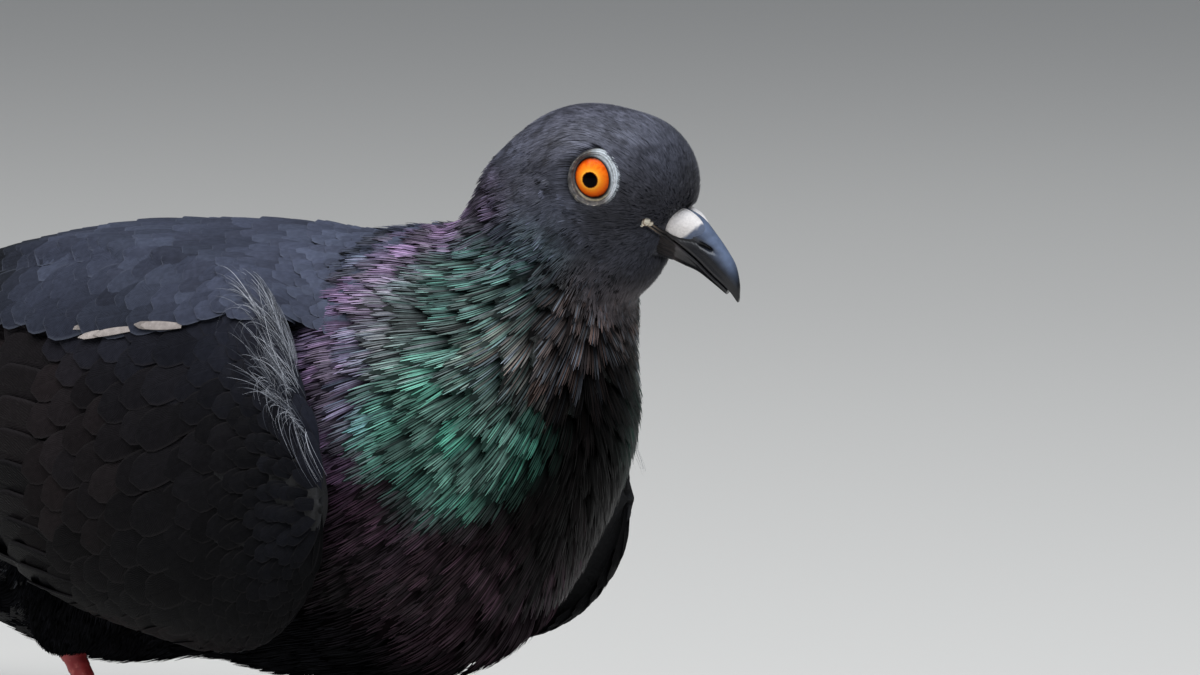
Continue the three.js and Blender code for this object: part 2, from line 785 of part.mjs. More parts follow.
function toePath(leg, toe, from, to, steps) {
  const way = radians(leg.side * toe.angle + leg.turn);
  return Array.from({ length: steps + 1 }, (_, i) => {
    const t = lerp(from, to, i / steps);
    const flat = clamp(t / 0.3, 0, 1);
    const radius = TOE_RADIUS * (1 - 0.25 * t);
    const z = lerp(FOOT_JOINT_HEIGHT, FLOOR + radius - SOLE_SINK, flat ** 0.7);
    return [
      leg.foot + t * toe.length * Math.cos(way),
      leg.side * LEG_SPREAD + t * toe.length * Math.sin(way),
      z,
    ];
  });
}

const TOE_SIDES = 7;
const CLAW_SIDES = 5;
const TOE_STEPS = 5;
function toeSolid(leg, toe, grow = 0) {
  const radii = Array.from({ length: TOE_STEPS + 1 }, (_, i) => {
    const t = i / TOE_STEPS;
    const pads = 1 + 0.09 * Math.cos(2 * Math.PI * 3 * t);
    const tip = i === TOE_STEPS ? 0.72 : 1;
    return TOE_RADIUS * (1 - 0.25 * t) * pads * tip + grow;
  });
  return tube(toePath(leg, toe, 0, 1 + grow / toe.length, TOE_STEPS), radii, TOE_SIDES);
}

const floorBlock = blockBeyond([0, 0, FLOOR], [0, 0, -1]);

function footSolid(leg) {
  const top = hockOf(leg);
  const joint = jointOf(leg);
  const along = [0, 0.1, 0.22, 0.5, 0.8, 0.94, 1.06];
  const shank = [TARSUS_RADIUS, TARSUS_RADIUS * 0.95, TARSUS_RADIUS];
  const radii = [HOCK_RADIUS, HOCK_RADIUS, ...shank, FOOT_JOINT_RADIUS, TARSUS_RADIUS * 1.1];
  const start = add(top, scaled(shankOf(leg), -GAP));
  const path = along.map((t) => add(start, scaled(minus(joint, start), t)));
  const toes = Object.values(TOES).map((toe) => toeSolid(leg, toe));
  return largest(
    joined([tube(path, radii, TOE_SIDES), ...toes]).subtract(floorBlock).subtract(torsoBulk),
  );
}

const CLAW = { root: 1.6, steps: 3, radius: 1.05, point: 0.16, arch: 0.7, drop: 0.95 };
function clawSolid(leg, toe) {
  const way = radians(leg.side * toe.angle + leg.turn);
  const base = toePath(leg, toe, 1, 1, 1)[0];
  const path = [];
  const radii = [];
  for (let i = 0; i <= CLAW.steps; i++) {
    const t = i / CLAW.steps;
    const out = toe.claw * t - CLAW.root * (1 - t);
    const z = base[2] + CLAW.arch * Math.sin(Math.PI * t * 0.9) - CLAW.drop * t * t;
    path.push([base[0] + out * Math.cos(way), base[1] + out * Math.sin(way), z]);
    radii.push(lerp(CLAW.radius, CLAW.point, t));
  }
  return largest(tube(path, radii, CLAW_SIDES).subtract(toeSolid(leg, toe, GAP)));
}

// The thigh's masses and the box they fill.
function thighShape(leg) {
  const [x, y, z] = hockOf(leg);
  const masses = [
    { at: [x + 17, leg.side * 20.5, z + 18], size: [18, 11, 17] },
    { at: [x + 6, y, z + 7], size: [10, 8.5, 11] },
    { at: [x, y, z], size: [5.5, 5.5, 5.5] },
  ];
  const box = [
    [x - 16, y - 20, z - 12],
    [x + 42, y + 20, z + 42],
  ];
  return { field: blended(masses, 7), box };
}

function thighSolid(leg) {
  const { field, box } = thighShape(leg);
  return largest(
    surfaceOf(field, ...box, CELL.thigh)
      .subtract(torsoBulk)
      .subtract(blockBeyond(hockOf(leg), scaled(shankOf(leg), -1))),
  );
}

// The left wing: the right one on the other side of the middle plane, its bend a little lower and
// further forward.
const LEFT_WING = { pivot: -150, droop: 0.045, forward: 2.5 };
function leftWingFrom(solid) {
  const { position } = geometryFrom(solid).attributes;
  const { triVerts } = solid.getMesh();
  const points = Array.from({ length: position.count }, (_, i) => [
    position.getX(i) + LEFT_WING.forward,
    -position.getY(i),
    position.getZ(i) - LEFT_WING.droop * (position.getX(i) - LEFT_WING.pivot),
  ]);
  const faces = Array.from({ length: triVerts.length / 3 }, (_, i) => [
    ...triVerts.slice(3 * i, 3 * i + 3),
  ]);
  return solidFromFaces(points, faces);
}

// A wing, cut clear of what it is folded against.
const feathered = joined([wingCore(), ...Object.values(WING_TIERS).flatMap(wingTier)]);

function wingSolid(leg) {
  const { field, box } = thighShape(leg);
  const wing = leg.side < 0 ? feathered : leftWingFrom(feathered);
  return largest(
    wing
      .subtract(torsoBulk)
      .subtract(neckBulk)
      .subtract(grownSurface(tailCoverts, TAIL_BOX, CELL.tail))
      .subtract(tailRoom())
      .subtract(grownSurface(field, box, CELL.thigh)),
  );
}

// ---------------------------------------------------------------------------------------------------
// Nodes

const bird = new THREE.Group();
const PLUMAGE = { color: 0x24262c, roughness: 0.7 };

function node(name, solid, look) {
  const mesh = new THREE.Mesh(geometryFrom(solid), new THREE.MeshStandardMaterial(look));
  mesh.name = name;
  bird.add(mesh);
  return mesh;
}

node("head", head, PLUMAGE);
node("cere", cere, { color: 0xd8d2cf, roughness: 0.8 });
node("bill_upper", upperBill, { color: 0x2a2c33, roughness: 0.35 });
node("bill_lower", lowerBill, { color: 0x2a2c33, roughness: 0.4 });
node("eye_right", eyeball(-1), { color: 0xf07818, roughness: 0.1 });
node("eye_left", eyeball(1), { color: 0xf07818, roughness: 0.1 });
node("wing_right", wingSolid(LEGS.right), PLUMAGE);
node("wing_left", wingSolid(LEGS.left), PLUMAGE);
node("neck", neck, { color: 0x2a5d4f, roughness: 0.5 });
node("torso", torso, PLUMAGE);
node("tail", tail, PLUMAGE);

const SKIN_OF_FOOT = { color: 0xa8323a, roughness: 0.55 };
const HORN_OF_CLAW = { color: 0x1b1a1a, roughness: 0.4 };
for (const [name, leg] of Object.entries(LEGS)) {
  node(`thigh_${name}`, thighSolid(leg), PLUMAGE);
  node(`foot_${name}`, footSolid(leg), SKIN_OF_FOOT);
  for (const [toeName, toe] of Object.entries(TOES)) {
    node(`claw_${name}_${toeName}`, clawSolid(leg, toe), HORN_OF_CLAW);
  }
}

// Centred over the floor: the middle of its bounds is at X = Y = 0, and the soles are at Z = 0.
bird.updateMatrixWorld(true);
const bounds = new THREE.Box3().setFromObject(bird, true);
const middle = bounds.getCenter(new THREE.Vector3());
bird.position.set(-middle.x, -middle.y, -FLOOR);

export default bird;
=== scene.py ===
"""A feral rock pigeon in dark plumage, life size and still: skin, feathers, eyes, bill and feet.

Shapes are worked out in millimetres in the frame that the body is laid out in: +X forward, +Y the
bird's left, +Z up, with the floor at FLOOR. `placed` takes them to the row frame in metres.
"""

import math  # noqa: E402

import bpy  # noqa: E402
import numpy as np  # noqa: E402
from mathutils import Matrix, Vector  # noqa: E402
from mathutils.kdtree import KDTree  # noqa: E402


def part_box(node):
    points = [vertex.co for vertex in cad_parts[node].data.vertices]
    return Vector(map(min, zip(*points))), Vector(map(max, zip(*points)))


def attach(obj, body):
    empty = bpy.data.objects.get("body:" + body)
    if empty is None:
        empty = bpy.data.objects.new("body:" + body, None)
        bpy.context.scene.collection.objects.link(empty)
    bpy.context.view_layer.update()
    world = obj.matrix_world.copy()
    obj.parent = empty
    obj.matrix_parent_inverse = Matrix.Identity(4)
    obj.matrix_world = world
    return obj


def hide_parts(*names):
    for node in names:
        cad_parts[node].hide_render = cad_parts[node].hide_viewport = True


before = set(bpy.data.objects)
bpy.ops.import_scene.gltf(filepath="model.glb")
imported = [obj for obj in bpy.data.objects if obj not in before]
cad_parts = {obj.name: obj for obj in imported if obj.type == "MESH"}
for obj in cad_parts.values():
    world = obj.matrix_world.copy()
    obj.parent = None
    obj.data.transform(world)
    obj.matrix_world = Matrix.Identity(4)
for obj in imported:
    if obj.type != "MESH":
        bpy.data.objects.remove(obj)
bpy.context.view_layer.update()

# ----------------------------------------------------------------------------------------------------
# Driving sizes, as in the solids

FLOOR = 6.0
HEAD_AT = (61, 8, 137)  # between the eyes
HEAD_YAW = 22  # degrees to the bird's left
HEAD_PITCH = 16  # degrees, bill down
EYE_RADIUS = 5.0
EYE_OFFSET = 8.9  # eyeball centre from the head's midline

TAIL_ROOT = (-86, 0, 91)
TAIL_SLOPE = 14
TAIL_LENGTH = 116
TAIL_WIDTH = 19
TAIL_PAIRS = 6

LEG_SPREAD = 22
LEGS = {
    "right": {"side": -1, "foot": -38, "hock": (-57, 41), "turn": -8},
    "left": {"side": 1, "foot": 14, "hock": (-4, 38), "turn": 6},
}
TOES = {
    "inner": {"length": 22, "angle": -34, "claw": 6.5},
    "middle": {"length": 29, "angle": 0, "claw": 7.5},
    "outer": {"length": 23, "angle": 32, "claw": 6.5},
    "hind": {"length": 13, "angle": 172, "claw": 6.5},
}
TARSUS_RADIUS = 2.2
TOE_RADIUS = 2.1
HOCK_RADIUS = 3.1
FOOT_JOINT_RADIUS = 2.9
FOOT_JOINT_HEIGHT = FLOOR + 4.6
SOLE_SINK = 0.45

# ----------------------------------------------------------------------------------------------------
# Small helpers


def lerp(a, b, t):
    return a + (b - a) * t


def smooth(low, high, value):
    """0 below low, 1 above high, and a smooth rise between them."""
    t = np.clip((value - low) / (high - low), 0, 1)
    return t * t * (3 - 2 * t)


def unit(vectors):
    return vectors / np.maximum(np.linalg.norm(vectors, axis=-1, keepdims=True), 1e-9)


def turn_of(yaw, pitch):
    """Turns by yaw about Z after a pitch, bill down, about Y."""
    about_z = Matrix.Rotation(math.radians(yaw), 3, "Z")
    about_y = Matrix.Rotation(math.radians(pitch), 3, "Y")
    return np.array(about_z @ about_y)


HEAD_TURN = turn_of(HEAD_YAW, HEAD_PITCH)


def from_head(points):
    return np.asarray(points, float) @ HEAD_TURN.T + HEAD_AT


def to_head(points):
    return (np.asarray(points, float) - HEAD_AT) @ HEAD_TURN


def from_tail(points):
    """[back, side, up] along the sloping tail to the body's frame."""
    points = np.asarray(points, float)
    slope = math.radians(TAIL_SLOPE)
    back, side, up = points[..., 0], points[..., 1], points[..., 2]
    x = -back * math.cos(slope) - up * math.sin(slope)
    z = -back * math.sin(slope) + up * math.cos(slope)
    return np.stack([x, side, z], -1) + TAIL_ROOT


def box_centre(node):
    low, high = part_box(node)
    return np.array((low + high) / 2)


SHIFT = box_centre("eye_right") * 1000 - from_head((0, -EYE_OFFSET, 0))


def placed(points):
    return (np.asarray(points, float) + SHIFT) / 1000


def curve_through(pairs):
    """A smooth curve through (at, value) pairs in rising order, flat beyond both ends."""
    at = np.array([p[0] for p in pairs], float)
    value = np.array([p[1] for p in pairs], float)
    before = np.maximum(np.arange(len(at)) - 1, 0)
    after = np.minimum(np.arange(len(at)) + 1, len(at) - 1)
    slope = (value[after] - value[before]) / (at[after] - at[before])

    def curve(x):
        x = np.clip(x, at[0], at[-1])
        i = np.clip(np.searchsorted(at, x, side="right") - 1, 0, len(at) - 2)
        span = at[i + 1] - at[i]
        t = (x - at[i]) / span
        rise = lerp(value[i], value[i + 1], t * t * (3 - 2 * t))
        return rise + span * slope[i] * t * (1 - t) ** 2 - span * slope[i + 1] * t * t * (1 - t)

    return curve


def linear(colour):
    """An sRGB colour of 0 to 255 as linear light."""
    c = np.asarray(colour, float) / 255
    return np.where(c <= 0.04045, c / 12.92, ((c + 0.055) / 1.055) ** 2.4)


CELL_PRIMES = np.array([73856093, 19349663, 83492791])  # mix a cell's place into one number


def noise(points, size, seed):
    """Smooth random values from -1 to 1, with features about `size` across."""
    p = np.asarray(points, float) / size + seed * 17.3
    cell = np.floor(p).astype(np.int64)
    t = p - cell
    t = t * t * (3 - 2 * t)
    total = np.zeros(p.shape[:-1])
    for corner in np.ndindex(2, 2, 2):
        bits = np.bitwise_xor.reduce((cell + corner) * CELL_PRIMES, -1)
        bits = (bits * 2654435761 + seed * 97) & 0xFFFFFFFF
        bits = ((bits >> 13) ^ bits) * 1274126177 & 0xFFFFFFFF
        value = (bits & 0xFFFF) / 32767.5 - 1
        near = np.abs(1 - np.array(corner) - t)
        total += value * (near[..., 0] * near[..., 1] * near[..., 2])
    return total


def jittered(points, amount, size, seeds):
    """Points moved by up to `amount` along each axis, by smooth noise with a seed for each."""
    return points + amount * np.stack([noise(points, size, seed) for seed in seeds], -1)


# ----------------------------------------------------------------------------------------------------
# The body's field: rounded masses that flow into one another, negative inside and close to a
# distance in mm near the surface


def mass(at, size, pitch=0, yaw=0):
    """An ellipsoid, nose up by pitch and turned left by yaw."""
    return np.array(at, float), np.array(size, float), turn_of(yaw, -pitch)


def head_mass(at, size, tilt=0):
    return mass(from_head(at), size, tilt - HEAD_PITCH, HEAD_YAW)


def mass_field(points, shape):
    at, size, turn = shape
    local = (points - at) @ turn
    near = np.linalg.norm(local / size, axis=-1)
    steep = np.linalg.norm(local / size**2, axis=-1)
    return near * (near - 1) / np.maximum(steep, 1e-9)


def soft_min(a, b, width):
    h = np.maximum(width - np.abs(a - b), 0) / width
    return np.minimum(a, b) - h * h * width / 4


def blended(points, masses, width):
    total = mass_field(points, masses[0])
    for shape in masses[1:]:
        total = soft_min(total, mass_field(points, shape), width)
    return total


TRUNK_MASSES = [
    mass((25.4, 0, 88.5), (36, 36.5, 32)),  # breast
    mass((20.5, 0, 76), (32.6, 33, 39.3)),  # keel
    mass((-10, 0, 77.5), (55, 36, 44), 5.5),  # belly
    mass((-60, 0, 68), (54, 27, 37.5), 8),  # vent
    mass((-34, 0, 89.5), (61, 26.5, 27.7), 8.5),  # back
    mass((-64, 0, 89.5), (53, 21.5, 23), 13),  # rump
    mass((27, 1, 96), (30.6, 30.6, 27.2)),  # shoulders
    mass((46, 4, 111.5), (17, 20, 18.5), -20, 10),  # neck
    head_mass((-10.6, 0, -10.6), (14.2, 12.6, 13)),  # nape
]
HEAD_MASSES = [
    head_mass((-1.1, 0, -0.5), (17.3, 14, 12.1)),  # crown
    head_mass((4.9, 0, 0.1), (9.4, 10.3, 10.6)),  # forehead
    head_mass((0.5, 0, -6.5), (14.5, 11.5, 8.6), -14),  # face
    head_mass((5.4, 0, -14.5), (8.4, 8, 8)),  # throat
]
TAIL_COVERT_MASSES = [
    mass(from_tail((16, 0, -6)), (42, 18, 10), TAIL_SLOPE),
    mass(from_tail((12, 0, -14)), (44, 15, 10), TAIL_SLOPE - 3),
]


def hock_of(leg):
    return np.array([leg["hock"][0], leg["side"] * LEG_SPREAD, leg["hock"][1]], float)


def thigh_masses(leg):
    x, y, z = hock_of(leg)
    return [
        mass((x + 17, leg["side"] * 20.5, z + 18), (18, 11, 17)),
        mass((x + 6, y, z + 7), (10, 8.5, 11)),
        mass((x, y, z), (5.5, 5.5, 5.5)),
    ]


THIGH_MASSES = {name: thigh_masses(leg) for name, leg in LEGS.items()}


def head_field(points):
    return blended(points, HEAD_MASSES, 4)


def trunk_field(points):
    return blended(points, TRUNK_MASSES, 10)


def head_share(points):
    """Rises from negative on the neck to positive on the head, in mm from where they meet."""
    return trunk_field(points) - head_field(points)


def body_field(points):
    """Head, neck, torso, thighs and the tail coverts as one form."""
    total = soft_min(trunk_field(points), head_field(points), 6)
    total = soft_min(total, blended(points, TAIL_COVERT_MASSES, 6), 4)
    for masses in THIGH_MASSES.values():
        total = soft_min(total, blended(points, masses, 7), 3)
    return total


def to_hock(points):
    """Distance to the nearer hock."""
    return np.min([np.linalg.norm(points - hock_of(leg), axis=-1) for leg in LEGS.values()], 0)


BODY_COAT, HEAD_COAT, HOCK_COAT = 2.2, 0.8, 0.9  # mm from the skin up to the tips of the feathers
EYE_HOLLOW = 2.4


def coat_depth(points):
    """How far the skin lies under the tips of the feathers."""
    on_head = smooth(34, 15, np.linalg.norm(to_head(points) - (2, 0, -3), axis=-1))
    return lerp(lerp(BODY_COAT, HEAD_COAT, on_head), HOCK_COAT, smooth(22, 6, to_hock(points)))


def eye_hollow(points):
    """How much deeper the skin lies under the eyeballs and the bare rings round them."""
    local = to_head(points)
    from_axis = np.hypot(local[:, 0], local[:, 2])
    return EYE_HOLLOW * smooth(5.4, 4.2, from_axis) * smooth(3, 6, np.abs(local[:, 1]))


def skin_field(points):
    return body_field(points) + coat_depth(points) + eye_hollow(points)


SLOPE_REACH = 0.05  # mm to each side over which a field's slope is measured


def slope_of(field, points):
    slope = np.empty_like(points)
    for axis in range(3):
        step = np.zeros(3)
        step[axis] = SLOPE_REACH
        slope[:, axis] = (field(points + step) - field(points - step)) / (2 * SLOPE_REACH)
    return slope


def onto(field, points, level, passes):
    """Points moved along the field's slope onto a level of it, with the normals there."""
    for _ in range(passes):
        slope = slope_of(field, points)
        steep = np.maximum((slope**2).sum(-1), 0.2)
        points = points - slope * ((field(points) - level) / steep)[:, None]
    return points, unit(slope)


def surface_of(field, low, high, cell):
    """The surface where a field is zero, as points and quads, about one quad a cell."""
    counts = [int(math.ceil((high[i] - low[i]) / cell)) + 1 for i in range(3)]
    axes = [low[i] + cell * np.arange(counts[i]) for i in range(3)]
    grid = np.stack(np.meshgrid(*axes, indexing="ij"), -1)
    value = field(grid.reshape(-1, 3)).reshape(counts)
    inside = value < 0

    def corner(array, offset):
        return array[tuple(slice(o, n - 1 + o) for o, n in zip(offset, counts))]

    total = np.zeros([n - 1 for n in counts] + [3])
    crossings = np.zeros([n - 1 for n in counts])
    for axis in range(3):
        others = [a for a in range(3) if a != axis]
        for i in (0, 1):
            for j in (0, 1):
                near = [0, 0, 0]
                near[others[0]], near[others[1]] = i, j
                far = list(near)
                far[axis] = 1
                a, b = corner(value, near), corner(value, far)
                cut = (a < 0) != (b < 0)
                t = np.where(cut, a / np.where(cut, a - b, 1), 0)
                place = np.broadcast_to(np.array(near, float), total.shape).copy()
                place[..., axis] += t
                total += place * cut[..., None]
                crossings += cut
    active = crossings > 0
    number = np.full(active.shape, -1)
    number[active] = np.arange(active.sum())
    cells = np.argwhere(active)
    points = np.array(low) + cell * (cells + total[active] / crossings[active][:, None])

    quads = []
    for axis in range(3):
        u, v = np.eye(3, dtype=int)[(axis + 1) % 3], np.eye(3, dtype=int)[(axis + 2) % 3]
        step = np.eye(3, dtype=int)[axis]
        at = np.argwhere(np.ones([n - 2 for n in counts], bool)) + 1
        at = at[(at + step < np.array(counts) - 1).all(-1)]
        here, there = inside[tuple(at.T)], inside[tuple((at + step).T)]
        at, here = at[here != there], here[here != there]
        quad = np.stack([number[tuple((at - d).T)] for d in (0 * u, u, u + v, v)], -1)
        quad[~here] = quad[~here][:, ::-1]
        quads.append(quad)
    return points, np.concatenate(quads)


# ----------------------------------------------------------------------------------------------------
# Meshes


def mesh_piece(name, points, faces, material, point_data=None, bake=None):
    """A smooth mesh in mm as an object that rides on the body.

    faces has four corners each; a last corner that repeats the first marks a triangle. point_data
    maps an attribute's name to three values a point; bake is the place of each point in OFBake."""
    own = np.ones(faces.shape, bool)
    own[:, -1] = faces[:, -1] != faces[:, 0]
    corners = faces[own]
    starts = np.cumsum(own.sum(1)) - own.sum(1)
    mesh = bpy.data.meshes.new(name)
    mesh.vertices.add(len(points))
    mesh.vertices.foreach_set("co", placed(points).astype(np.float32).ravel())
    mesh.loops.add(len(corners))
    mesh.loops.foreach_set("vertex_index", corners.astype(np.int32))
    mesh.polygons.add(len(faces))
    mesh.polygons.foreach_set("loop_start", starts.astype(np.int32))
    mesh.polygons.foreach_set("use_smooth", np.full(len(faces), True))
    for key, values in (point_data or {}).items():
        attribute = mesh.attributes.new(key, "FLOAT_VECTOR", "POINT")
        attribute.data.foreach_set("vector", np.asarray(values, np.float32).ravel())
    if bake is not None:
        layer = mesh.uv_layers.new(name="OFBake")
        layer.data.foreach_set("uv", bake[corners].astype(np.float32).ravel())
    mesh.update(calc_edges=True)
    mesh.materials.append(material)
    piece = bpy.data.objects.new(name, mesh)
    bpy.context.scene.collection.objects.link(piece)
    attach(piece, "root")
    return piece


def grid_faces(rows, columns, *, closed_rows=False, closed_columns=False):
    """Quads of a grid of rows by columns, numbered row by row, that may close on itself either way."""
    i = np.arange(rows if closed_rows else rows - 1)
    j = np.arange(columns if closed_columns else columns - 1)
    i, j = np.meshgrid(i, j, indexing="ij")
    after, beside = (i + 1) % rows, (j + 1) % columns
    quads = [i * columns + j, i * columns + beside, after * columns + beside, after * columns + j]
    return np.stack(quads, -1).reshape(-1, 4)


def repeated(faces, count, size):
    """The same faces for `count` like meshes of `size` points each."""
    return (faces[None] + np.arange(count)[:, None, None] * size).reshape(-1, faces.shape[1])


GOLDEN = 0.6180339887  # its multiples spread evenly from 0 to 1


class Coat:
    """Vanes gathered into one piece, with what their materials and the bake need."""

    def __init__(self):
        self.points, self.faces, self.tint, self.vane, self.bake = [], [], [], [], []
        self.count = 0

    def add(self, points, tint, roots_uv, *, patch=0.003, thick=0.0, normals=None):
        """points is (vanes, stations, columns, 3). tint is a colour a vane, station or point.

        patch is how much of the bake a vane takes round its root's place there. A thick vane is
        closed by a copy that lies under it."""
        n, k, c, _ = points.shape
        tint = np.asarray(tint, float)
        while tint.ndim < 4:
            tint = tint[:, None] if tint.ndim == 2 else tint[:, :, None]
        tint = np.broadcast_to(tint, (n, k, c, 3))
        across, along = np.linspace(-1, 1, c), np.linspace(0, 1, k)[:, None]
        own = (across, along, self.spread(n)[:, None, None])
        vane = np.stack([np.broadcast_to(values, (n, k, c)) for values in own], -1)
        bake = roots_uv[:, None, None] + patch * np.stack([vane[..., 0] / 2, vane[..., 1] - 0.5], -1)
        faces = grid_faces(k, c)
        if thick:
            points = np.concatenate([points, points - normals[:, :, None] * thick], 1)
            faces = np.concatenate([faces, faces[:, ::-1] + k * c, rim_faces(k, c)])
            tint, vane, bake = (np.concatenate([a, a], 1) for a in (tint, vane, bake))
        size = points.shape[1] * points.shape[2]
        self.faces.append(repeated(faces, n, size) + self.count)
        self.points.append(points.reshape(-1, 3))
        self.tint.append(tint.reshape(-1, 3))
        self.vane.append(vane.reshape(-1, 3))
        self.bake.append(bake.reshape(-1, 2))
        self.count += n * size

    def spread(self, n):
        """A number of its own for each vane, from 0 to 1."""
        return (np.arange(n) * GOLDEN + self.count * 0.137) % 1

    def piece(self, name, material, slot, *replaced):
        made = mesh_piece(
            name,
            np.concatenate(self.points),
            np.concatenate(self.faces),
            material,
            {"tint": np.concatenate(self.tint), "vane": np.concatenate(self.vane)},
            np.clip(np.concatenate(self.bake), 0.001, 0.999),
        )
        if replaced:
            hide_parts(*replaced)
        return made


def rim_faces(rows, columns):
    """Quads that close a sheet with its copy, whose points follow the sheet's own."""
    ring = [(0, j) for j in range(columns)]
    ring += [(i, columns - 1) for i in range(1, rows)]
    ring += [(rows - 1, j) for j in range(columns - 2, -1, -1)]
    ring += [(i, 0) for i in range(rows - 2, 0, -1)]
    at = np.array([i * columns + j for i, j in ring])
    following = np.roll(at, -1)
    under = rows * columns
    return np.stack([following, at, at + under, following + under], -1)


def tube(path, radii, sides):
    """Rings of points round a path, (stations, sides, 3), with a radius at each station."""
    way = unit(np.gradient(path, axis=0))
    level = np.where(np.abs(way[:, 2:3]) > 0.9, (0.0, 1.0, 0.0), (0.0, 0.0, 1.0))
    u = unit(np.cross(way, level))
    v = np.cross(way, u)
    angle = (2 * math.pi * np.arange(sides) / sides)[:, None]
    return path[:, None] + radii[:, None, None] * (u[:, None] * np.cos(angle) + v[:, None] * np.sin(angle))


def capped_faces(count, sides):
    """Faces of a tube of rings, closed by fans to two points that follow the rings' own."""
    first, last = np.full(sides, count * sides), np.full(sides, count * sides + 1)
    j = np.arange(sides)
    k = (j + 1) % sides
    end = (count - 1) * sides
    fans = np.stack([first, k, j, first], -1), np.stack([last, end + j, end + k, last], -1)
    return np.concatenate([grid_faces(count, sides, closed_columns=True), *fans])


def capped(rings):
    """A tube's rings as points and faces, closed at both ends."""
    count, sides, _ = rings.shape
    points = np.concatenate([rings.reshape(-1, 3), rings[0].mean(0)[None], rings[-1].mean(0)[None]])
    return points, capped_faces(count, sides)


def joined(parts):
    """Meshes of (points, faces) as one."""
    starts = np.cumsum([0] + [len(points) for points, _ in parts])
    faces = [faces + start for (_, faces), start in zip(parts, starts)]
    return np.concatenate([points for points, _ in parts]), np.concatenate(faces)


def across_vanes(path, normals, half, columns, camber=0.0):
    """Vanes spread sideways from their middle lines: (n, k, columns, 3).

    half is the half width at each station; camber is the fall at the edge as a share of it."""
    along = unit(np.gradient(path, axis=1))
    side = unit(np.cross(normals, along))
    across = np.linspace(-1, 1, columns)
    out = side[:, :, None] * (half[..., None] * across)[..., None]
    fall = normals[:, :, None] * (half[..., None] * camber * across**2)[..., None]
    return path[:, :, None] + out - fall


def ribbons(path, normals, half, twist):
    """Flat strips along their middle lines, (n, k, 2, 3), each turned by twist about its length."""
    along = unit(np.gradient(path, axis=1))
    side = unit(np.cross(normals, along))
    turn = np.broadcast_to(twist, len(path))[:, None, None]
    edge = (side * np.cos(turn) + normals * np.sin(turn)) * half[..., None]
    return np.stack([path - edge, path + edge], 2)


# ----------------------------------------------------------------------------------------------------
# The lie of the feathers

# Which way they point at places on the bird's right side; the left side mirrors it
LIE = [
    ((40, -10, 131), (-0.85, -0.1, -0.5)),  # nape
    ((30, -20, 120), (-1, -0.1, -0.2)),  # back of the neck
    ((42, -27, 105), (-0.93, -0.1, -0.36)),  # side of the neck
    ((50, -26, 92), (-0.88, 0, -0.45)),
    ((60, -10, 105), (-0.5, -0.4, -0.75)),  # front of the neck
    ((62, 0, 92), (-0.25, -0.4, -0.95)),
    ((50, -20, 66), (-0.7, -0.25, -0.6)),  # lower breast
    ((34, -30, 70), (-0.9, 0, -0.4)),
    ((20, -5, 40), (-1, 0, -0.05)),  # belly
    ((0, -36, 66), (-1, 0, -0.3)),  # flank
    ((5, -8, 120), (-1, -0.05, -0.1)),  # mantle
    ((-65, -8, 108), (-1, -0.05, -0.3)),  # rump
    ((-60, -10, 52), (-1, 0, 0.15)),  # vent
    ((-100, -5, 82), (-1, -0.02, -0.2)),  # tail coverts
]
LIE_REACH = 16.0
BILL_BASE = (13, 0, -4)  # in the head's frame, where the face's feathers start from


def midline(points):
    """Y of the bird's middle plane, which the turned head draws to its left."""
    return 7 * smooth(96, 134, points[:, 2]) * smooth(20, 45, points[:, 0])


def lie(points, normals):
    """Unit directions along the surface."""
    y = points[:, 1] - midline(points)
    right = np.stack([points[:, 0], -np.abs(y), points[:, 2]], -1)
    flow = np.zeros_like(points)
    for at, way in LIE:
        near = np.exp(-((right - at) ** 2).sum(-1) / (2 * LIE_REACH**2)) + 1e-9
        flow += near[:, None] * unit(np.array(way, float))
    flow[:, 1] *= -np.tanh(y / 4)
    for leg in LEGS.values():
        x, side, z = hock_of(leg)
        near = smooth(30, 12, np.linalg.norm(points - (x + 5, side, z + 6), axis=-1))
        flow = lerp(unit(flow), np.array([-0.45, 0, -1.0]), near[:, None])

    local = to_head(points)
    radial = unit(local - BILL_BASE)
    behind = smooth(2, -14, local[:, 0])[:, None]
    radial = unit(lerp(radial, np.array([-0.62, 0, -0.78]), behind))
    on_head = smooth(-2.5, 2.5, head_share(points))[:, None]
    flow = lerp(unit(flow), radial @ HEAD_TURN.T, on_head)
    flow -= normals * (flow * normals).sum(-1, keepdims=True)
    return unit(flow)


def traced(roots, length, stations, root_level, tip_level, field=body_field, way=lie, rise=0.45):
    """Lines that run from roots along the lie, from a level of the field to a higher one.

    length and the levels are one number or one a root. A rise under 1 brings them up early, so that
    they lie flat for most of their length. Returns paths and normals, (n, stations, 3)."""
    length = np.broadcast_to(length, len(roots))
    root_level = np.broadcast_to(root_level, len(roots))
    tip_level = np.broadcast_to(tip_level, len(roots))
    at, normal = onto(field, roots, root_level, 1)
    path, normals = [at], [normal]
    for k in range(1, stations):
        share = (k / (stations - 1)) ** rise
        step = (length / (stations - 1))[:, None]
        level = lerp(root_level, tip_level, share)
        at, normal = onto(field, at + way(at, normal) * step, level, 1)
        path.append(at)
        normals.append(normal)
    return np.stack(path, 1), np.stack(normals, 1)


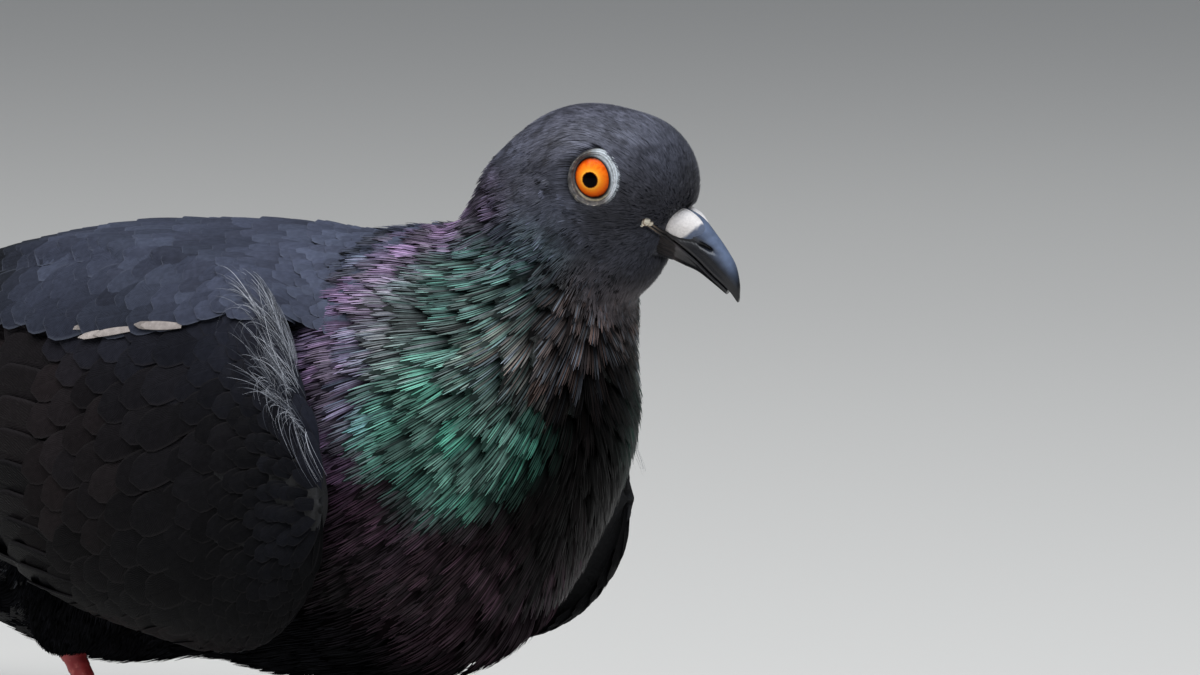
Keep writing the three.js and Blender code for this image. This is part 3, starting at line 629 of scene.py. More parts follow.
def strewn(points, faces, spacing, keep, draw):
    """Points spread at random over a surface of quads, about spacing(points) apart."""
    triangles = np.concatenate([faces[:, [0, 1, 2]], faces[:, [0, 2, 3]]])
    a, b, c = (points[triangles[:, i]] for i in range(3))
    area = np.linalg.norm(np.cross(b - a, c - a), axis=-1) / 2
    middle = (a + b + c) / 3
    weight = np.where(keep(middle), area / spacing(middle) ** 2, 0)
    count = int(weight.sum())
    which = draw.choice(len(triangles), count, p=weight / weight.sum())
    u, v = draw.random((2, count, 1))
    flip = u + v > 1
    u, v = np.where(flip, 1 - u, u), np.where(flip, 1 - v, v)
    spots = a[which] + (b - a)[which] * u + (c - a)[which] * v
    return spots[keep(spots)]


def scattered(points, faces, spacing, keep, seed, way=None, stretch=lambda p: 1.0):
    """Points spread evenly over a surface of quads, no two nearer than spacing(points).

    With a way, they are stretch(points) times further apart along it."""
    draw = np.random.default_rng(seed)
    spots = strewn(points, faces, lambda p: spacing(p) * np.sqrt(stretch(p) / 6), keep, draw)
    room, long = spacing(spots), np.broadcast_to(stretch(spots), len(spots))
    ways = None if way is None else way(spots)
    tree = KDTree(len(spots))
    for i, spot in enumerate(spots):
        tree.insert(spot, i)
    tree.balance()
    free = np.ones(len(spots), bool)
    kept = []
    for i, spot in enumerate(spots):
        if not free[i]:
            continue
        kept.append(i)
        near = np.array([j for _, j, _ in tree.find_range(spot, room[i] * long[i])])
        if ways is not None:
            off = spots[near] - spot
            along = off @ ways[i]
            across = (off**2).sum(-1) - along**2
            near = near[(along / long[i]) ** 2 + across < room[i] ** 2]
        free[near] = False
    return spots[kept]


# ----------------------------------------------------------------------------------------------------
# Unwraps of the body's own shape, for OFBake

SPINE = np.array(  # the body's middle line from the tail to the crown
    [(-130, 0, 76), (-60, 0, 84), (0, 0, 82), (30, 2, 90), (46, 4, 108), (57, 7, 128), (66, 10, 142)]
)


def unwrapped(points):
    """(angle round the spine, station along it), each from 0 to 1."""
    share = np.linspace(0, len(SPINE) - 1, 121)
    below = np.minimum(share.astype(int), len(SPINE) - 2)
    line = lerp(SPINE[below], SPINE[below + 1], (share - below)[:, None])
    run = np.concatenate([[0], np.cumsum(np.linalg.norm(np.diff(line, axis=0), axis=-1))])
    distance = np.linalg.norm(points[:, None] - line[None], axis=-1)
    nearest = distance.argmin(1)
    ahead = unit(np.gradient(line, axis=0))[nearest]
    up = unit(np.cross(ahead, np.broadcast_to((0.0, 1.0, 0.0), ahead.shape)))
    side = np.cross(up, ahead)
    off = points - line[nearest]
    angle = np.arctan2((off * side).sum(-1), -(off * up).sum(-1))
    station = run[nearest] + (off * ahead).sum(-1)
    return np.stack([0.5 + angle / (2 * math.pi), (station + 30) / (run[-1] + 60)], -1)


def head_unwrapped(points):
    """(angle round the head's long axis, angle from the bill)."""
    local = to_head(points) - (-1, 0, -5)
    around = np.arctan2(local[:, 1], local[:, 2])
    back = np.arctan2(np.linalg.norm(local[:, 1:], axis=-1), local[:, 0])
    return np.stack([0.5 + 0.48 * around / math.pi, 0.02 + 0.96 * back / math.pi], -1)


def stretched(uv):
    """A part of an unwrap, spread to fill the square."""
    low, high = uv.min(0), uv.max(0)
    return 0.01 + 0.98 * (uv - low) / (high - low)


# ----------------------------------------------------------------------------------------------------
# Markings: where each colour of plumage lies. Skin and feathers both take them from here.

# Named colours as sRGB, and the shares in which a feather's barbs take them
PLUMAGE = {
    # slate, umber and chin are the bird's own blackish colours, set darker still as painted shade under the
    # body, on the front of the breast and under the head
    "slate": [((17, 17, 19), 0.6), ((27, 28, 32), 0.25), ((10, 11, 12), 0.15)],
    # crown and face are paler than the rest of the head partly as painted light on the top and front of the
    # head
    "crown": [((82, 82, 95), 0.5), ((104, 104, 118), 0.2), ((58, 58, 68), 0.3)],
    "face": [((108, 111, 127), 0.6), ((128, 132, 148), 0.25), ((78, 80, 92), 0.15)],
    "cheek": [((70, 74, 88), 0.5), ((94, 100, 118), 0.25), ((40, 42, 51), 0.25)],
    "lores": [((40, 38, 41), 0.7), ((58, 52, 52), 0.3)],
    # chin: partly painted shade under the bill and the head
    "chin": [((22, 22, 25), 0.7), ((34, 34, 39), 0.3)],
    "nape": [((50, 52, 63), 0.5), ((80, 74, 96), 0.2), ((34, 35, 41), 0.3)],
    "teal": [((124, 216, 188), 0.35), ((88, 162, 142), 0.3), ((54, 98, 90), 0.2), ((70, 76, 78), 0.15)],
    "moss": [((108, 170, 156), 0.35), ((76, 108, 104), 0.3), ((44, 48, 50), 0.22), ((112, 108, 116), 0.13)],
    "ash": [((126, 132, 134), 0.35), ((92, 104, 106), 0.3), ((50, 52, 55), 0.25), ((148, 136, 152), 0.1)],
    "steel": [((112, 154, 170), 0.35), ((92, 116, 132), 0.4), ((60, 68, 80), 0.25)],
    "purple": [
        ((172, 140, 182), 0.35),
        ((134, 108, 146), 0.35),
        ((78, 64, 92), 0.2),
        ((112, 108, 124), 0.1),
    ],
    "bronze": [((186, 150, 136), 0.3), ((124, 104, 98), 0.25), ((166, 182, 202), 0.25), ((50, 46, 48), 0.2)],
    # umber: blackish breast, partly painted shade on the front of the breast
    "umber": [((13, 10, 10), 0.5), ((23, 19, 20), 0.2), ((7, 6, 6), 0.3)],
    "plum": [((98, 68, 92), 0.4), ((70, 52, 68), 0.3), ((38, 32, 38), 0.3)],
    "maroon": [((58, 46, 50), 0.5), ((92, 68, 82), 0.2), ((30, 25, 28), 0.3)],
    "mantle": [((71, 76, 95), 0.5), ((88, 95, 115), 0.25), ((56, 58, 72), 0.25)],
}
# A colour's name, how far it reaches from its places, its strength, and the places on the right side
MARKS = [
    ("teal", 5.0, 1.4, [(51, -24, 101), (55, -20, 98), (58, -16, 94), (57, -19, 89), (51, -26, 94)]),
    ("teal", 4.2, 0.7, [(53, -24, 88), (59, -13, 90), (44, -29, 95), (54, -22, 84)]),
    ("moss", 5.5, 1.1, [(43, -13, 123), (50, -13, 121), (49, -17, 117), (54, -15, 114), (55, -17, 108)]),
    ("moss", 5.0, 0.9, [(44, -18, 118), (56, -17, 103), (46, -30, 90), (50, -27, 83), (57, -11, 117)]),
    ("ash", 5.5, 1.0, [(38, -21, 115), (39, -26, 110), (44, -25, 109), (48, -23, 107), (41, -29, 105)]),
    ("steel", 4.0, 1.0, [(35, -31, 107), (37, -33, 101), (38, -34, 96), (27, -16, 121)]),
    ("purple", 5.5, 1.4, [(34, -10, 124), (32, -17, 120), (30, -23, 117), (29, -28, 112), (29, -32, 106)]),
    ("purple", 5.0, 1.3, [(29, -35, 100), (30, -37, 93), (31, -38, 87)]),
    ("plum", 5.5, 1.3, [(33, -36, 80), (37, -34, 74), (43, -31, 71)]),
    ("purple", 3.8, 1.4, [(39, -10, 126), (42, -9, 129), (44.5, -9, 132)]),
    ("bronze", 5.5, 1.5, [(58, -13, 109), (57, -15, 105), (61, -8, 105), (63, 0, 109), (62, -5, 112)]),
    # Umber on the front of the breast: its own blackish colour, partly painted shade.
    ("umber", 10.0, 1.3, [(63, 6, 99), (60, 3, 84), (58, -4, 76), (62, 2, 92)]),
    ("umber", 6.0, 2.2, [(62, 0, 84), (61, 0, 78), (64, 3, 96), (64, 3, 90)]),
    ("lores", 3.6, 2.4, [(73.1, 1.3, 132.1), (74.5, 3, 133), (71, -1, 130.5)]),
    ("lores", 3.4, 1.0, [(54.2, -8.2, 137.9), (50.5, -9, 136)]),
    ("maroon", 12.0, 0.9, [(46, -24, 66), (40, -32, 70), (50, -12, 62)]),
    # Slate under the belly, flanks and vent: its own near black, partly painted shade under the body.
    ("slate", 16.0, 0.6, [(30, -26, 52), (10, -30, 50), (20, 0, 38), (-40, -20, 50)]),
    ("slate", 16.0, 0.6, [(-10, -34, 66), (-60, -20, 70), (-100, 0, 80), (-60, -10, 108)]),
    ("mantle", 9.0, 1.1, [(14, -10, 122), (-12, -14, 118), (-36, -14, 114), (14, -24, 116), (18, -30, 108)]),
    ("mantle", 5.0, 0.8, [(22, -20, 119), (22, -32, 108)]),
    ("slate", 5.0, 1.2, [(25, -37, 98), (25, -38, 86), (30, -37, 74)]),
    ("nape", 6.0, 1.2, [(46, -6, 132), (42, -8, 129), (50, -12, 127)]),
    # The face's paleness is partly painted light on the forehead.
    ("face", 8.0, 1.4, [(72, 6, 136), (74, 10, 141), (70, 8, 130)]),
    # The chin's darkness is partly painted shade under the bill and the head.
    ("chin", 7.5, 2.2, [(72, 10, 122), (68, 8, 118), (63, -2, 119)]),
    # The crown's paleness is partly painted light on the top of the head.
    ("crown", 9.0, 1.3, [(62, 2, 147), (52, 2, 145), (56, -3, 146)]),
    ("cheek", 8.0, 1.3, [(52, -9, 133), (56, -8, 127), (48, -6, 139)]),
]
# Umber on the left of the breast: partly painted shade.
LEFT_MARKS = [  # the same on the left of the breast alone
    (
        "umber",
        6.0,
        5.0,
        [(52, 24, 104), (52, 24, 97), (52, 24, 90), (51, 24, 82), (55, 19, 74), (58, 16, 92)],
    ),
    ("umber", 6.0, 2.0, [(60, 10, 100), (58, 14, 84)]),
]


def palette(name):
    """A marking's colours in linear light, the share that each takes, and their mean."""
    shades = np.array([linear(colour) for colour, _ in PLUMAGE[name]])
    shares = np.array([share for _, share in PLUMAGE[name]])
    shares = shares / shares.sum()
    return shades, shares, (shades * shares[:, None]).sum(0)


def mark_weights(points, ragged=2.5):
    """How much each named colour holds at each point, as {name: shares}."""
    y = points[:, 1] - midline(points)
    waver = ragged * np.stack([noise(points, 5, s) for s in (3, 4, 5)], -1)
    right = np.stack([points[:, 0], -np.abs(y), points[:, 2]], -1) + waver
    weights = {}
    for name, reach, strength, places in MARKS:
        shifted = np.array(places, float)
        shifted[:, 1] = -np.abs(shifted[:, 1] - midline(shifted))
        distance = np.linalg.norm(right[:, None] - shifted[None], axis=-1).min(1)
        weights[name] = weights.get(name, 0) + strength * np.exp(-(distance**2) / (2 * reach**2))
    for name, reach, strength, places in LEFT_MARKS:
        distance = np.linalg.norm((points + waver)[:, None] - np.array(places, float)[None], axis=-1).min(1)
        weights[name] = weights[name] + strength * np.exp(-(distance**2) / (2 * reach**2))
    weights["slate"] = weights["slate"] + 0.02
    total = sum(weights.values())
    return {name: weight / total for name, weight in weights.items()}


def chosen_marks(points, draw):
    """One named colour for each point, drawn by how much each holds there."""
    weights = mark_weights(points)
    names = list(weights)
    table = np.stack([weights[n] for n in names], -1) ** 3
    table = np.cumsum(table / table.sum(-1, keepdims=True), -1)
    pick = (draw.random((len(points), 1)) > table).sum(-1)
    return names, np.minimum(pick, len(names) - 1)


def drawn_colours(names, pick, draw, contrast):
    """A colour for each feather from the marking that `pick` numbers, (feathers, 3)."""
    colours = np.zeros((len(pick), 3))
    for index, name in enumerate(names):
        chosen = np.flatnonzero(pick == index)
        shades, shares, mean = palette(name)
        drawn = draw.choice(len(shades), len(chosen), p=shares)
        colours[chosen] = lerp(mean, shades[drawn], contrast)
    return colours


def blended_colours(points, count, draw, contrast, glow):
    """Colours of `count` barbs on each feather that pass softly from one marking to the next.

    Patches a few feathers wide are brighter and more coloured as a painted iridescent sheen; between them
    the colour is greyer and darker."""
    colour, total = 0.0, 0.0
    for name, weight in mark_weights(points, 1.8).items():
        shades, shares, mean = palette(name)
        drawn = draw.choice(len(shades), (len(points), count), p=shares)
        share = (weight**1.8)[:, None, None]
        colour = colour + share * lerp(mean, shades[drawn], contrast)
        total = total + share
    colour = colour / total
    # Patches of painted iridescent sheen, a few feathers wide.
    patch = smooth(-0.5, 0.4, noise(points, 3.6, 78) + draw.normal(0, 0.3, len(points)))[:, None, None]
    grey = colour.mean(-1, keepdims=True) * np.array([0.68, 0.7, 0.73])
    return lerp(lerp(grey, colour * 0.85, glow), colour * 1.15, patch)


def mean_colours(points):
    """The markings without single barbs, for the skin and the head's hair-like feathers."""
    return sum(weight[:, None] * palette(name)[2] for name, weight in mark_weights(points).items())


# ----------------------------------------------------------------------------------------------------
# Materials


def material_of(name, **sockets):
    """A material and its node tree, with constants set on the shader's own sockets."""
    material = bpy.data.materials.new(name)
    material.use_nodes = True
    tree = material.node_tree
    shader = tree.nodes["Principled BSDF"]
    for socket, value in sockets.items():
        shader.inputs[socket.replace("_", " ")].default_value = value
    return material, tree, shader


def node(tree, kind, inputs=(), **settings):
    """A node with its settings, its inputs set to values or linked to sockets."""
    made = tree.nodes.new("ShaderNode" + kind)
    for key, value in settings.items():
        setattr(made, key, value)
    for key, value in dict(inputs).items():
        if isinstance(value, bpy.types.NodeSocket):
            tree.links.new(value, made.inputs[key])
        else:
            made.inputs[key].default_value = value
    return made


def math_node(tree, operation, *values):
    return node(tree, "Math", dict(enumerate(values)), operation=operation).outputs[0]


def mixed(tree, factor, a, b, blend="MIX"):
    return node(tree, "Mix", {0: factor, 6: a, 7: b}, data_type="RGBA", blend_type=blend).outputs[2]


def attribute(tree, name):
    return node(tree, "Attribute", attribute_name=name)


def noise_node(tree, scale, detail=2.0):
    vector = node(tree, "TexCoord").outputs["Object"]
    return node(tree, "TexNoise", {"Vector": vector, "Scale": scale, "Detail": detail})


def bumped(tree, shader, height, strength, distance):
    bump = node(tree, "Bump", {"Height": height, "Strength": strength, "Distance": distance})
    tree.links.new(bump.outputs[0], shader.inputs["Normal"])


def ranged(tree, value, low, high, to_low=0.0, to_high=1.0):
    made = node(tree, "MapRange", {0: value, 1: low, 2: high, 3: to_low, 4: to_high})
    made.interpolation_type = "SMOOTHSTEP"
    return made.outputs[0]


def feather_material(
    name, *, roughness, specular=0.25, metallic=0.0, sheen=0.0, barbs=0.0, rim=0.0, rim_colour=(0, 0, 0)
):
    """Feather colour from the vane's tint, with barbs that slant from the shaft, painted shade in the
    grooves between them, and a paler rim.
    """
    material, tree, shader = material_of(
        name,
        Roughness=roughness,
        Metallic=metallic,
        Specular_IOR_Level=specular,
        Sheen_Weight=sheen,
        Sheen_Roughness=0.4,
    )
    parts = node(tree, "SeparateXYZ", {0: attribute(tree, "vane").outputs["Vector"]})
    edge = math_node(tree, "ABSOLUTE", parts.outputs[0])
    along = parts.outputs[1]
    colour = attribute(tree, "tint").outputs["Color"]
    mottle = noise_node(tree, 900.0, 3.0)
    colour = mixed(tree, ranged(tree, mottle.outputs[0], 0.3, 0.75, 0.25, 0.0), colour, (0, 0, 0, 1))
    if barbs:
        slant = math_node(tree, "MULTIPLY_ADD", edge, -9.0, math_node(tree, "MULTIPLY", along, 26.0))
        wobble = math_node(tree, "MULTIPLY_ADD", noise_node(tree, 500.0).outputs[0], 2.4, slant)
        wave = math_node(tree, "SINE", math_node(tree, "MULTIPLY", wobble, 6.283))
        groove = ranged(tree, wave, -1.0, 0.6)
        # Darker in the grooves between the barbs that the bump raises: painted shade.
        colour = mixed(tree, math_node(tree, "MULTIPLY_ADD", groove, -barbs, barbs), colour, (0, 0, 0, 1))
        shaft = ranged(tree, edge, 0.03, 0.09, 1.0, 0.0)
        height = math_node(tree, "ADD", groove, math_node(tree, "MULTIPLY", shaft, 2.0))
        bumped(tree, shader, height, 0.4, 0.0001)
    if rim:
        outer = math_node(tree, "MAXIMUM", edge, math_node(tree, "POWER", along, 9.0))
        share = math_node(tree, "MULTIPLY", ranged(tree, outer, 0.84, 0.98), rim)
        colour = mixed(tree, share, colour, (*rim_colour, 1))
    tree.links.new(colour, shader.inputs["Base Color"])
    return material


def tinted_material(name, *, roughness, specular, grain, bump, bump_size=0.0001, spread=0.25):
    """The piece's own tint, mottled by a grain that also roughens the surface."""
    material, tree, shader = material_of(name, Roughness=roughness, Specular_IOR_Level=specular)
    fine = noise_node(tree, grain, 4.0)
    colour = attribute(tree, "tint").outputs["Color"]
    dark = ranged(tree, fine.outputs[0], 0.3, 0.7, spread, 0.0)
    colour = mixed(tree, dark, colour, (0, 0, 0, 1))
    tree.links.new(colour, shader.inputs["Base Color"])
    bumped(tree, shader, fine.outputs[0], bump, bump_size)
    return material


def skin_material():
    material, tree, shader = material_of("Skin under the feathers", Roughness=0.9)
    grain = noise_node(tree, 1500.0, 4.0)
    dark = ranged(tree, grain.outputs[0], 0.35, 0.7, 0.35, 0.85)
    colour = mixed(tree, dark, (0, 0, 0, 1), attribute(tree, "tint").outputs["Color"])
    tree.links.new(colour, shader.inputs["Base Color"])
    bumped(tree, shader, grain.outputs[0], 0.6, 0.0003)
    return material


def iris_material():
    """Orange iris round a black pupil, by the distance in mm from the pupil's middle."""
    material, tree, shader = material_of("Eye", Roughness=0.09, Specular_IOR_Level=0.04)
    parts = node(tree, "SeparateXYZ", {0: attribute(tree, "iris").outputs["Vector"]})
    radius, turn, high = parts.outputs
    vector = node(tree, "CombineXYZ", {0: math_node(tree, "MULTIPLY", turn, 11.0), 1: radius, 2: 0.0})
    streaks = node(tree, "TexNoise", {"Vector": vector.outputs[0], "Scale": 1.8, "Detail": 4.0})
    inner = math_node(tree, "SUBTRACT", radius, 0.14)
    wobbled = math_node(tree, "MULTIPLY_ADD", streaks.outputs[0], 0.28, inner)
    ramp = node(tree, "ValToRGB", {0: math_node(tree, "DIVIDE", wobbled, 5.0)})
    stops = [
        (0.0, (1, 1, 2)),
        (0.278, (2, 2, 2)),
        (0.30, (120, 48, 6)),
        (0.33, (255, 178, 58)),
        (0.42, (252, 142, 34)),
        (0.56, (242, 112, 22)),
        (0.66, (208, 78, 16)),
        (0.72, (84, 32, 12)),
        (0.76, (8, 7, 7)),
    ]
    elements = ramp.color_ramp.elements
    elements[0].position, elements[1].position = stops[0][0], stops[-1][0]
    for position, _ in stops[1:-1]:
        elements.new(position)
    for element, (_, colour) in zip(elements, stops):
        element.color = (*linear(colour), 1)
    # Darker red veins on the upper iris, partly its own pattern and partly painted shade under the upper
    # lid.
    veins_and_lid_shade = node(tree, "TexNoise", {"Vector": vector.outputs[0], "Scale": 1.1, "Detail": 1.5})
    red = math_node(tree, "MULTIPLY", ranged(tree, veins_and_lid_shade.outputs[0], 0.42, 0.66), high)
    share = math_node(tree, "MULTIPLY", red, 0.45)
    colour = mixed(tree, share, ramp.outputs[0], (0.6, 0.22, 0.06, 1), "MULTIPLY")
    tree.links.new(colour, shader.inputs["Base Color"])
    return material


def mottled_material(name, colours, *, scale, roughness, bump):
    """Two or three colours in soft cells, with a grain of the same scale."""
    material, tree, shader = material_of(name, Roughness=roughness, Specular_IOR_Level=0.5)
    colours = [(*linear(colour), 1) for colour in colours]
    broad = noise_node(tree, scale * 0.3, 3.0)
    fine = noise_node(tree, scale, 4.0)
    colour = mixed(tree, ranged(tree, broad.outputs[0], 0.35, 0.65), colours[0], colours[1])
    if len(colours) > 2:
        colour = mixed(tree, ranged(tree, fine.outputs[0], 0.55, 0.72, 0.0, 0.8), colour, colours[2])
    tree.links.new(colour, shader.inputs["Base Color"])
    bumped(tree, shader, fine.outputs[0], bump, 0.0001)
    return material


MATERIALS = {
    "skin": skin_material(),
    "head": feather_material("Head feathers", roughness=0.5, sheen=0.05, specular=0.2),
    "neck": feather_material("Neck hackles", roughness=0.38, metallic=0.15, specular=0.03),
    "soft": feather_material("Body feathers", roughness=0.6, specular=0.0),
    "mantle": feather_material(
        "Mantle feathers",
        roughness=0.55,
        specular=0.08,
        barbs=0.06,
        rim=0.22,
        rim_colour=(0.13, 0.145, 0.185),
    ),
    "covert": feather_material(
        "Wing coverts", roughness=0.45, specular=0.03, barbs=0.25, rim=0.35, rim_colour=(0.022, 0.02, 0.021)
    ),
    "flight": feather_material(
        "Flight feathers",
        roughness=0.42,
        specular=0.04,
        barbs=0.3,
        rim=0.3,
        rim_colour=(0.024, 0.022, 0.024),
    ),
    "wisp": feather_material("Pale wisps", roughness=0.6),
    "eye": iris_material(),
    "ring": tinted_material("Bare skin round the eye", roughness=0.55, specular=0.3, grain=2200, bump=0.5),
    "cere": tinted_material(
        "Cere", roughness=0.75, specular=0.2, grain=2600, bump=0.5, bump_size=0.00012, spread=0.14
    ),
    "bill": tinted_material("Bill", roughness=0.24, specular=0.45, grain=700, bump=0.1),
    "gape": tinted_material("Gape", roughness=0.6, specular=0.3, grain=2400, bump=0.5),
    "foot": mottled_material(
        "Foot skin", [(150, 44, 46), (118, 30, 34), (176, 84, 78)], scale=900, roughness=0.5, bump=0.5
    ),
    "claw": mottled_material("Claw", [(22, 20, 20), (40, 36, 34)], scale=700, roughness=0.35, bump=0.3),
}

# ----------------------------------------------------------------------------------------------------
# Skin

SKIN_CELL = 1.7
SKIN_LOW, SKIN_HIGH = (-136, -50, 30), (90, 50, 156)


def make_skin():
    points, faces = surface_of(skin_field, SKIN_LOW, SKIN_HIGH, SKIN_CELL)
    points, _ = onto(skin_field, points, 0.0, 2)
    piece = mesh_piece("skin", points, faces, MATERIALS["skin"], {"tint": mean_colours(points)})
    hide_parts("head", "neck", "torso", "thigh_right", "thigh_left")
    return points, faces


# ----------------------------------------------------------------------------------------------------
# Wing surface: found from X and an angle, 90 degrees at the wing's top edge and -90 at its lower

WING_FRONT, WING_WIDEST = 32.5, -4
wing_middle = curve_through(
    [
        (-170, 77),
        (-140, 84),
        (-120, 87.5),
        (-100, 86.5),
        (-80, 84.5),
        (-40, 82),
        (-4, 80),
        (9, 79.5),
        (25, 77.5),
        (32.5, 76.5),
    ]
)
wing_half_height = curve_through(
    [(-170, 4), (-140, 5), (-120, 7), (-100, 14), (-80, 23.5), (-40, 32.5), (-4, 34.5)]
)
wing_low_inset = curve_through(
    [
        (-170, 12),
        (-140, 17),
        (-120, 22.5),
        (-100, 26),
        (-80, 28),
        (-40, 31),
        (-4, 34),
        (14, 38.5),
        (32.5, 41.5),
    ]
)
wing_top_inset = curve_through(
    [(-170, 6), (-120, 7.5), (-80, 11), (-40, 18.5), (-4, 27), (10, 33), (22, 38), (32.5, 41)]
)
wing_bulge = curve_through(
    [(-170, 2), (-120, 5), (-80, 11), (-40, 15), (-4, 13), (10, 8), (22, 4.2), (32.5, 1.5)]
)
CORE_LIFT = curve_through([(-104, -3), (-70, -1.6), (-20, -0.4), (10, 1.4), (24, 1.4), (32.5, 0.3)])


def wing_half(x):
    to_nose = np.clip((x - WING_WIDEST) / (WING_FRONT - WING_WIDEST), 0, 0.998)
    return wing_half_height(x) * (1 - to_nose**2) ** 0.65


def wing_inset(x, up):
    """How far from the middle plane the wing's edges lie at a height from -1 to 1, without the bulge."""
    return lerp(wing_low_inset(x), wing_top_inset(x), (up + 1) / 2)


def wing_place(x, angle):
    up = np.sin(np.radians(angle))
    y = wing_inset(x, up) + wing_bulge(x) * np.cos(np.radians(angle))
    return np.stack([x, -y, wing_middle(x) + wing_half(x) * up], -1)


def wing_point(x, angle, lift):
    """Points on the right wing, lifted off it, with their outward normals."""
    x, angle, lift = np.broadcast_arrays(*(np.asarray(v, float) for v in (x, angle, lift)))
    along = wing_place(x - 0.5, angle) - wing_place(x + 0.5, angle)
    across = wing_place(x, angle + 1) - wing_place(x, angle - 1)
    normal = unit(np.cross(across, along))
    return wing_place(x, angle) + normal * lift[..., None], normal


# The left wing is the right one's mirror image, further forward and drooped about a pivot at the rear
LEFT_WING_PIVOT, LEFT_WING_DROOP, LEFT_WING_FORWARD = -150, 0.045, 2.5


def to_left_wing(points):
    x, y, z = points[..., 0], points[..., 1], points[..., 2]
    return np.stack([x + LEFT_WING_FORWARD, -y, z - LEFT_WING_DROOP * (x - LEFT_WING_PIVOT)], -1)


def wing_field(points):
    """Negative inside the folded wings and between them."""
    on_left = smooth(-3, 10, points[:, 1])
    x = points[:, 0] - LEFT_WING_FORWARD * on_left
    z = points[:, 2] + LEFT_WING_DROOP * (x - LEFT_WING_PIVOT) * on_left
    inside_x = np.clip(x, -150, WING_FRONT - 0.5)
    up = np.clip((z - wing_middle(inside_x)) / wing_half(inside_x), -1, 1)
    round_part = np.sqrt(np.maximum(1 - up**2, 0.0975)) - 3.04 * np.maximum(np.abs(up) - 0.95, 0)
    side = wing_inset(inside_x, up) + wing_bulge(inside_x) * round_part
    outward = np.abs(points[:, 1]) - side
    upward = np.abs(z - wing_middle(inside_x)) - wing_half(inside_x)
    beyond = np.maximum(x - WING_FRONT + 0.5, 0)
    return -soft_min(-outward, -upward, 5) + beyond


def under_wing(points):
    """Skin that a folded wing covers."""
    x = points[:, 0]
    up = (points[:, 2] - wing_middle(x)) / wing_half(np.minimum(x, WING_FRONT - 0.5))
    return (x < 27) & (x > -100) & (np.abs(up) < 0.86) & (wing_field(points) < -1)


# ----------------------------------------------------------------------------------------------------
# Feathers of the head, neck and body


def face_y(x, z, side, level):
    """How far from the head's midline a level of its surface lies at places seen from the side."""
    near, far = np.zeros_like(x), np.full_like(x, 20.0)
    for _ in range(22):
        middle = (near + far) / 2
        places = from_head(np.stack([x, side * middle, z], -1).reshape(-1, 3))
        outside = (body_field(places) > level).reshape(x.shape)
        near, far = np.where(outside, near, middle), np.where(outside, middle, far)
    return (near + far) / 2


def in_eye_patch(local, grow):
    """True over the bare skin round the eyes, in the head's frame."""
    x, z = local[..., 0] - RING_CENTRE[0], local[..., 2] - RING_CENTRE[1]
    return (x / (RING_HALF[0] + grow)) ** 2 + (z / (RING_HALF[1] + grow)) ** 2 < 1


def in_bill(local, grow):
    """True inside the bill, the cere and the bare lips that run back to the gape."""
    x, y, z = local[..., 0], np.abs(local[..., 1]), local[..., 2]
    wide = BILL_HALF_WIDTH(x) + grow
    bill = (x > 11) & (y < wide) & (z < BILL_RIDGE(x) + grow) & (z > BILL_KEEL(x) - grow)
    lobe = np.linalg.norm((np.stack([x, y, z], -1) - CERE_AT) / (np.array(CERE_HALF) + grow), axis=-1) < 1
    mouth = MOUTH_LINE(x) + GAPE_RISE * smooth(GAPE_X + 3.5, GAPE_X, x)
    lips = (x > GAPE_X - 0.6) & (np.abs(z - mouth) < 0.75 + grow)
    return bill | lobe | lips


# The patches are painted iridescent sheen.
COMB_GLOW = 0.55  # of the colour that barbs between the glossy patches keep
BARB_TWIST = 0.35  # radians, most that a barb is turned about its length


def comb_shades(roots, barbs, draw, contrast, dim):
    """Colours of each comb's barbs, (feathers, barbs, 3). dim is how much a feather's brightness varies."""
    shades = blended_colours(roots, barbs, draw, contrast, COMB_GLOW)
    patches = 1 + 0.3 * noise(roots, 7, 75)[:, None, None]
    single = 1 + dim[:, None, None] * draw.uniform(-1, 1, (len(roots), 1, 1))
    return shades * patches * single * draw.uniform(0.78, 1.2, (len(roots), barbs, 1))


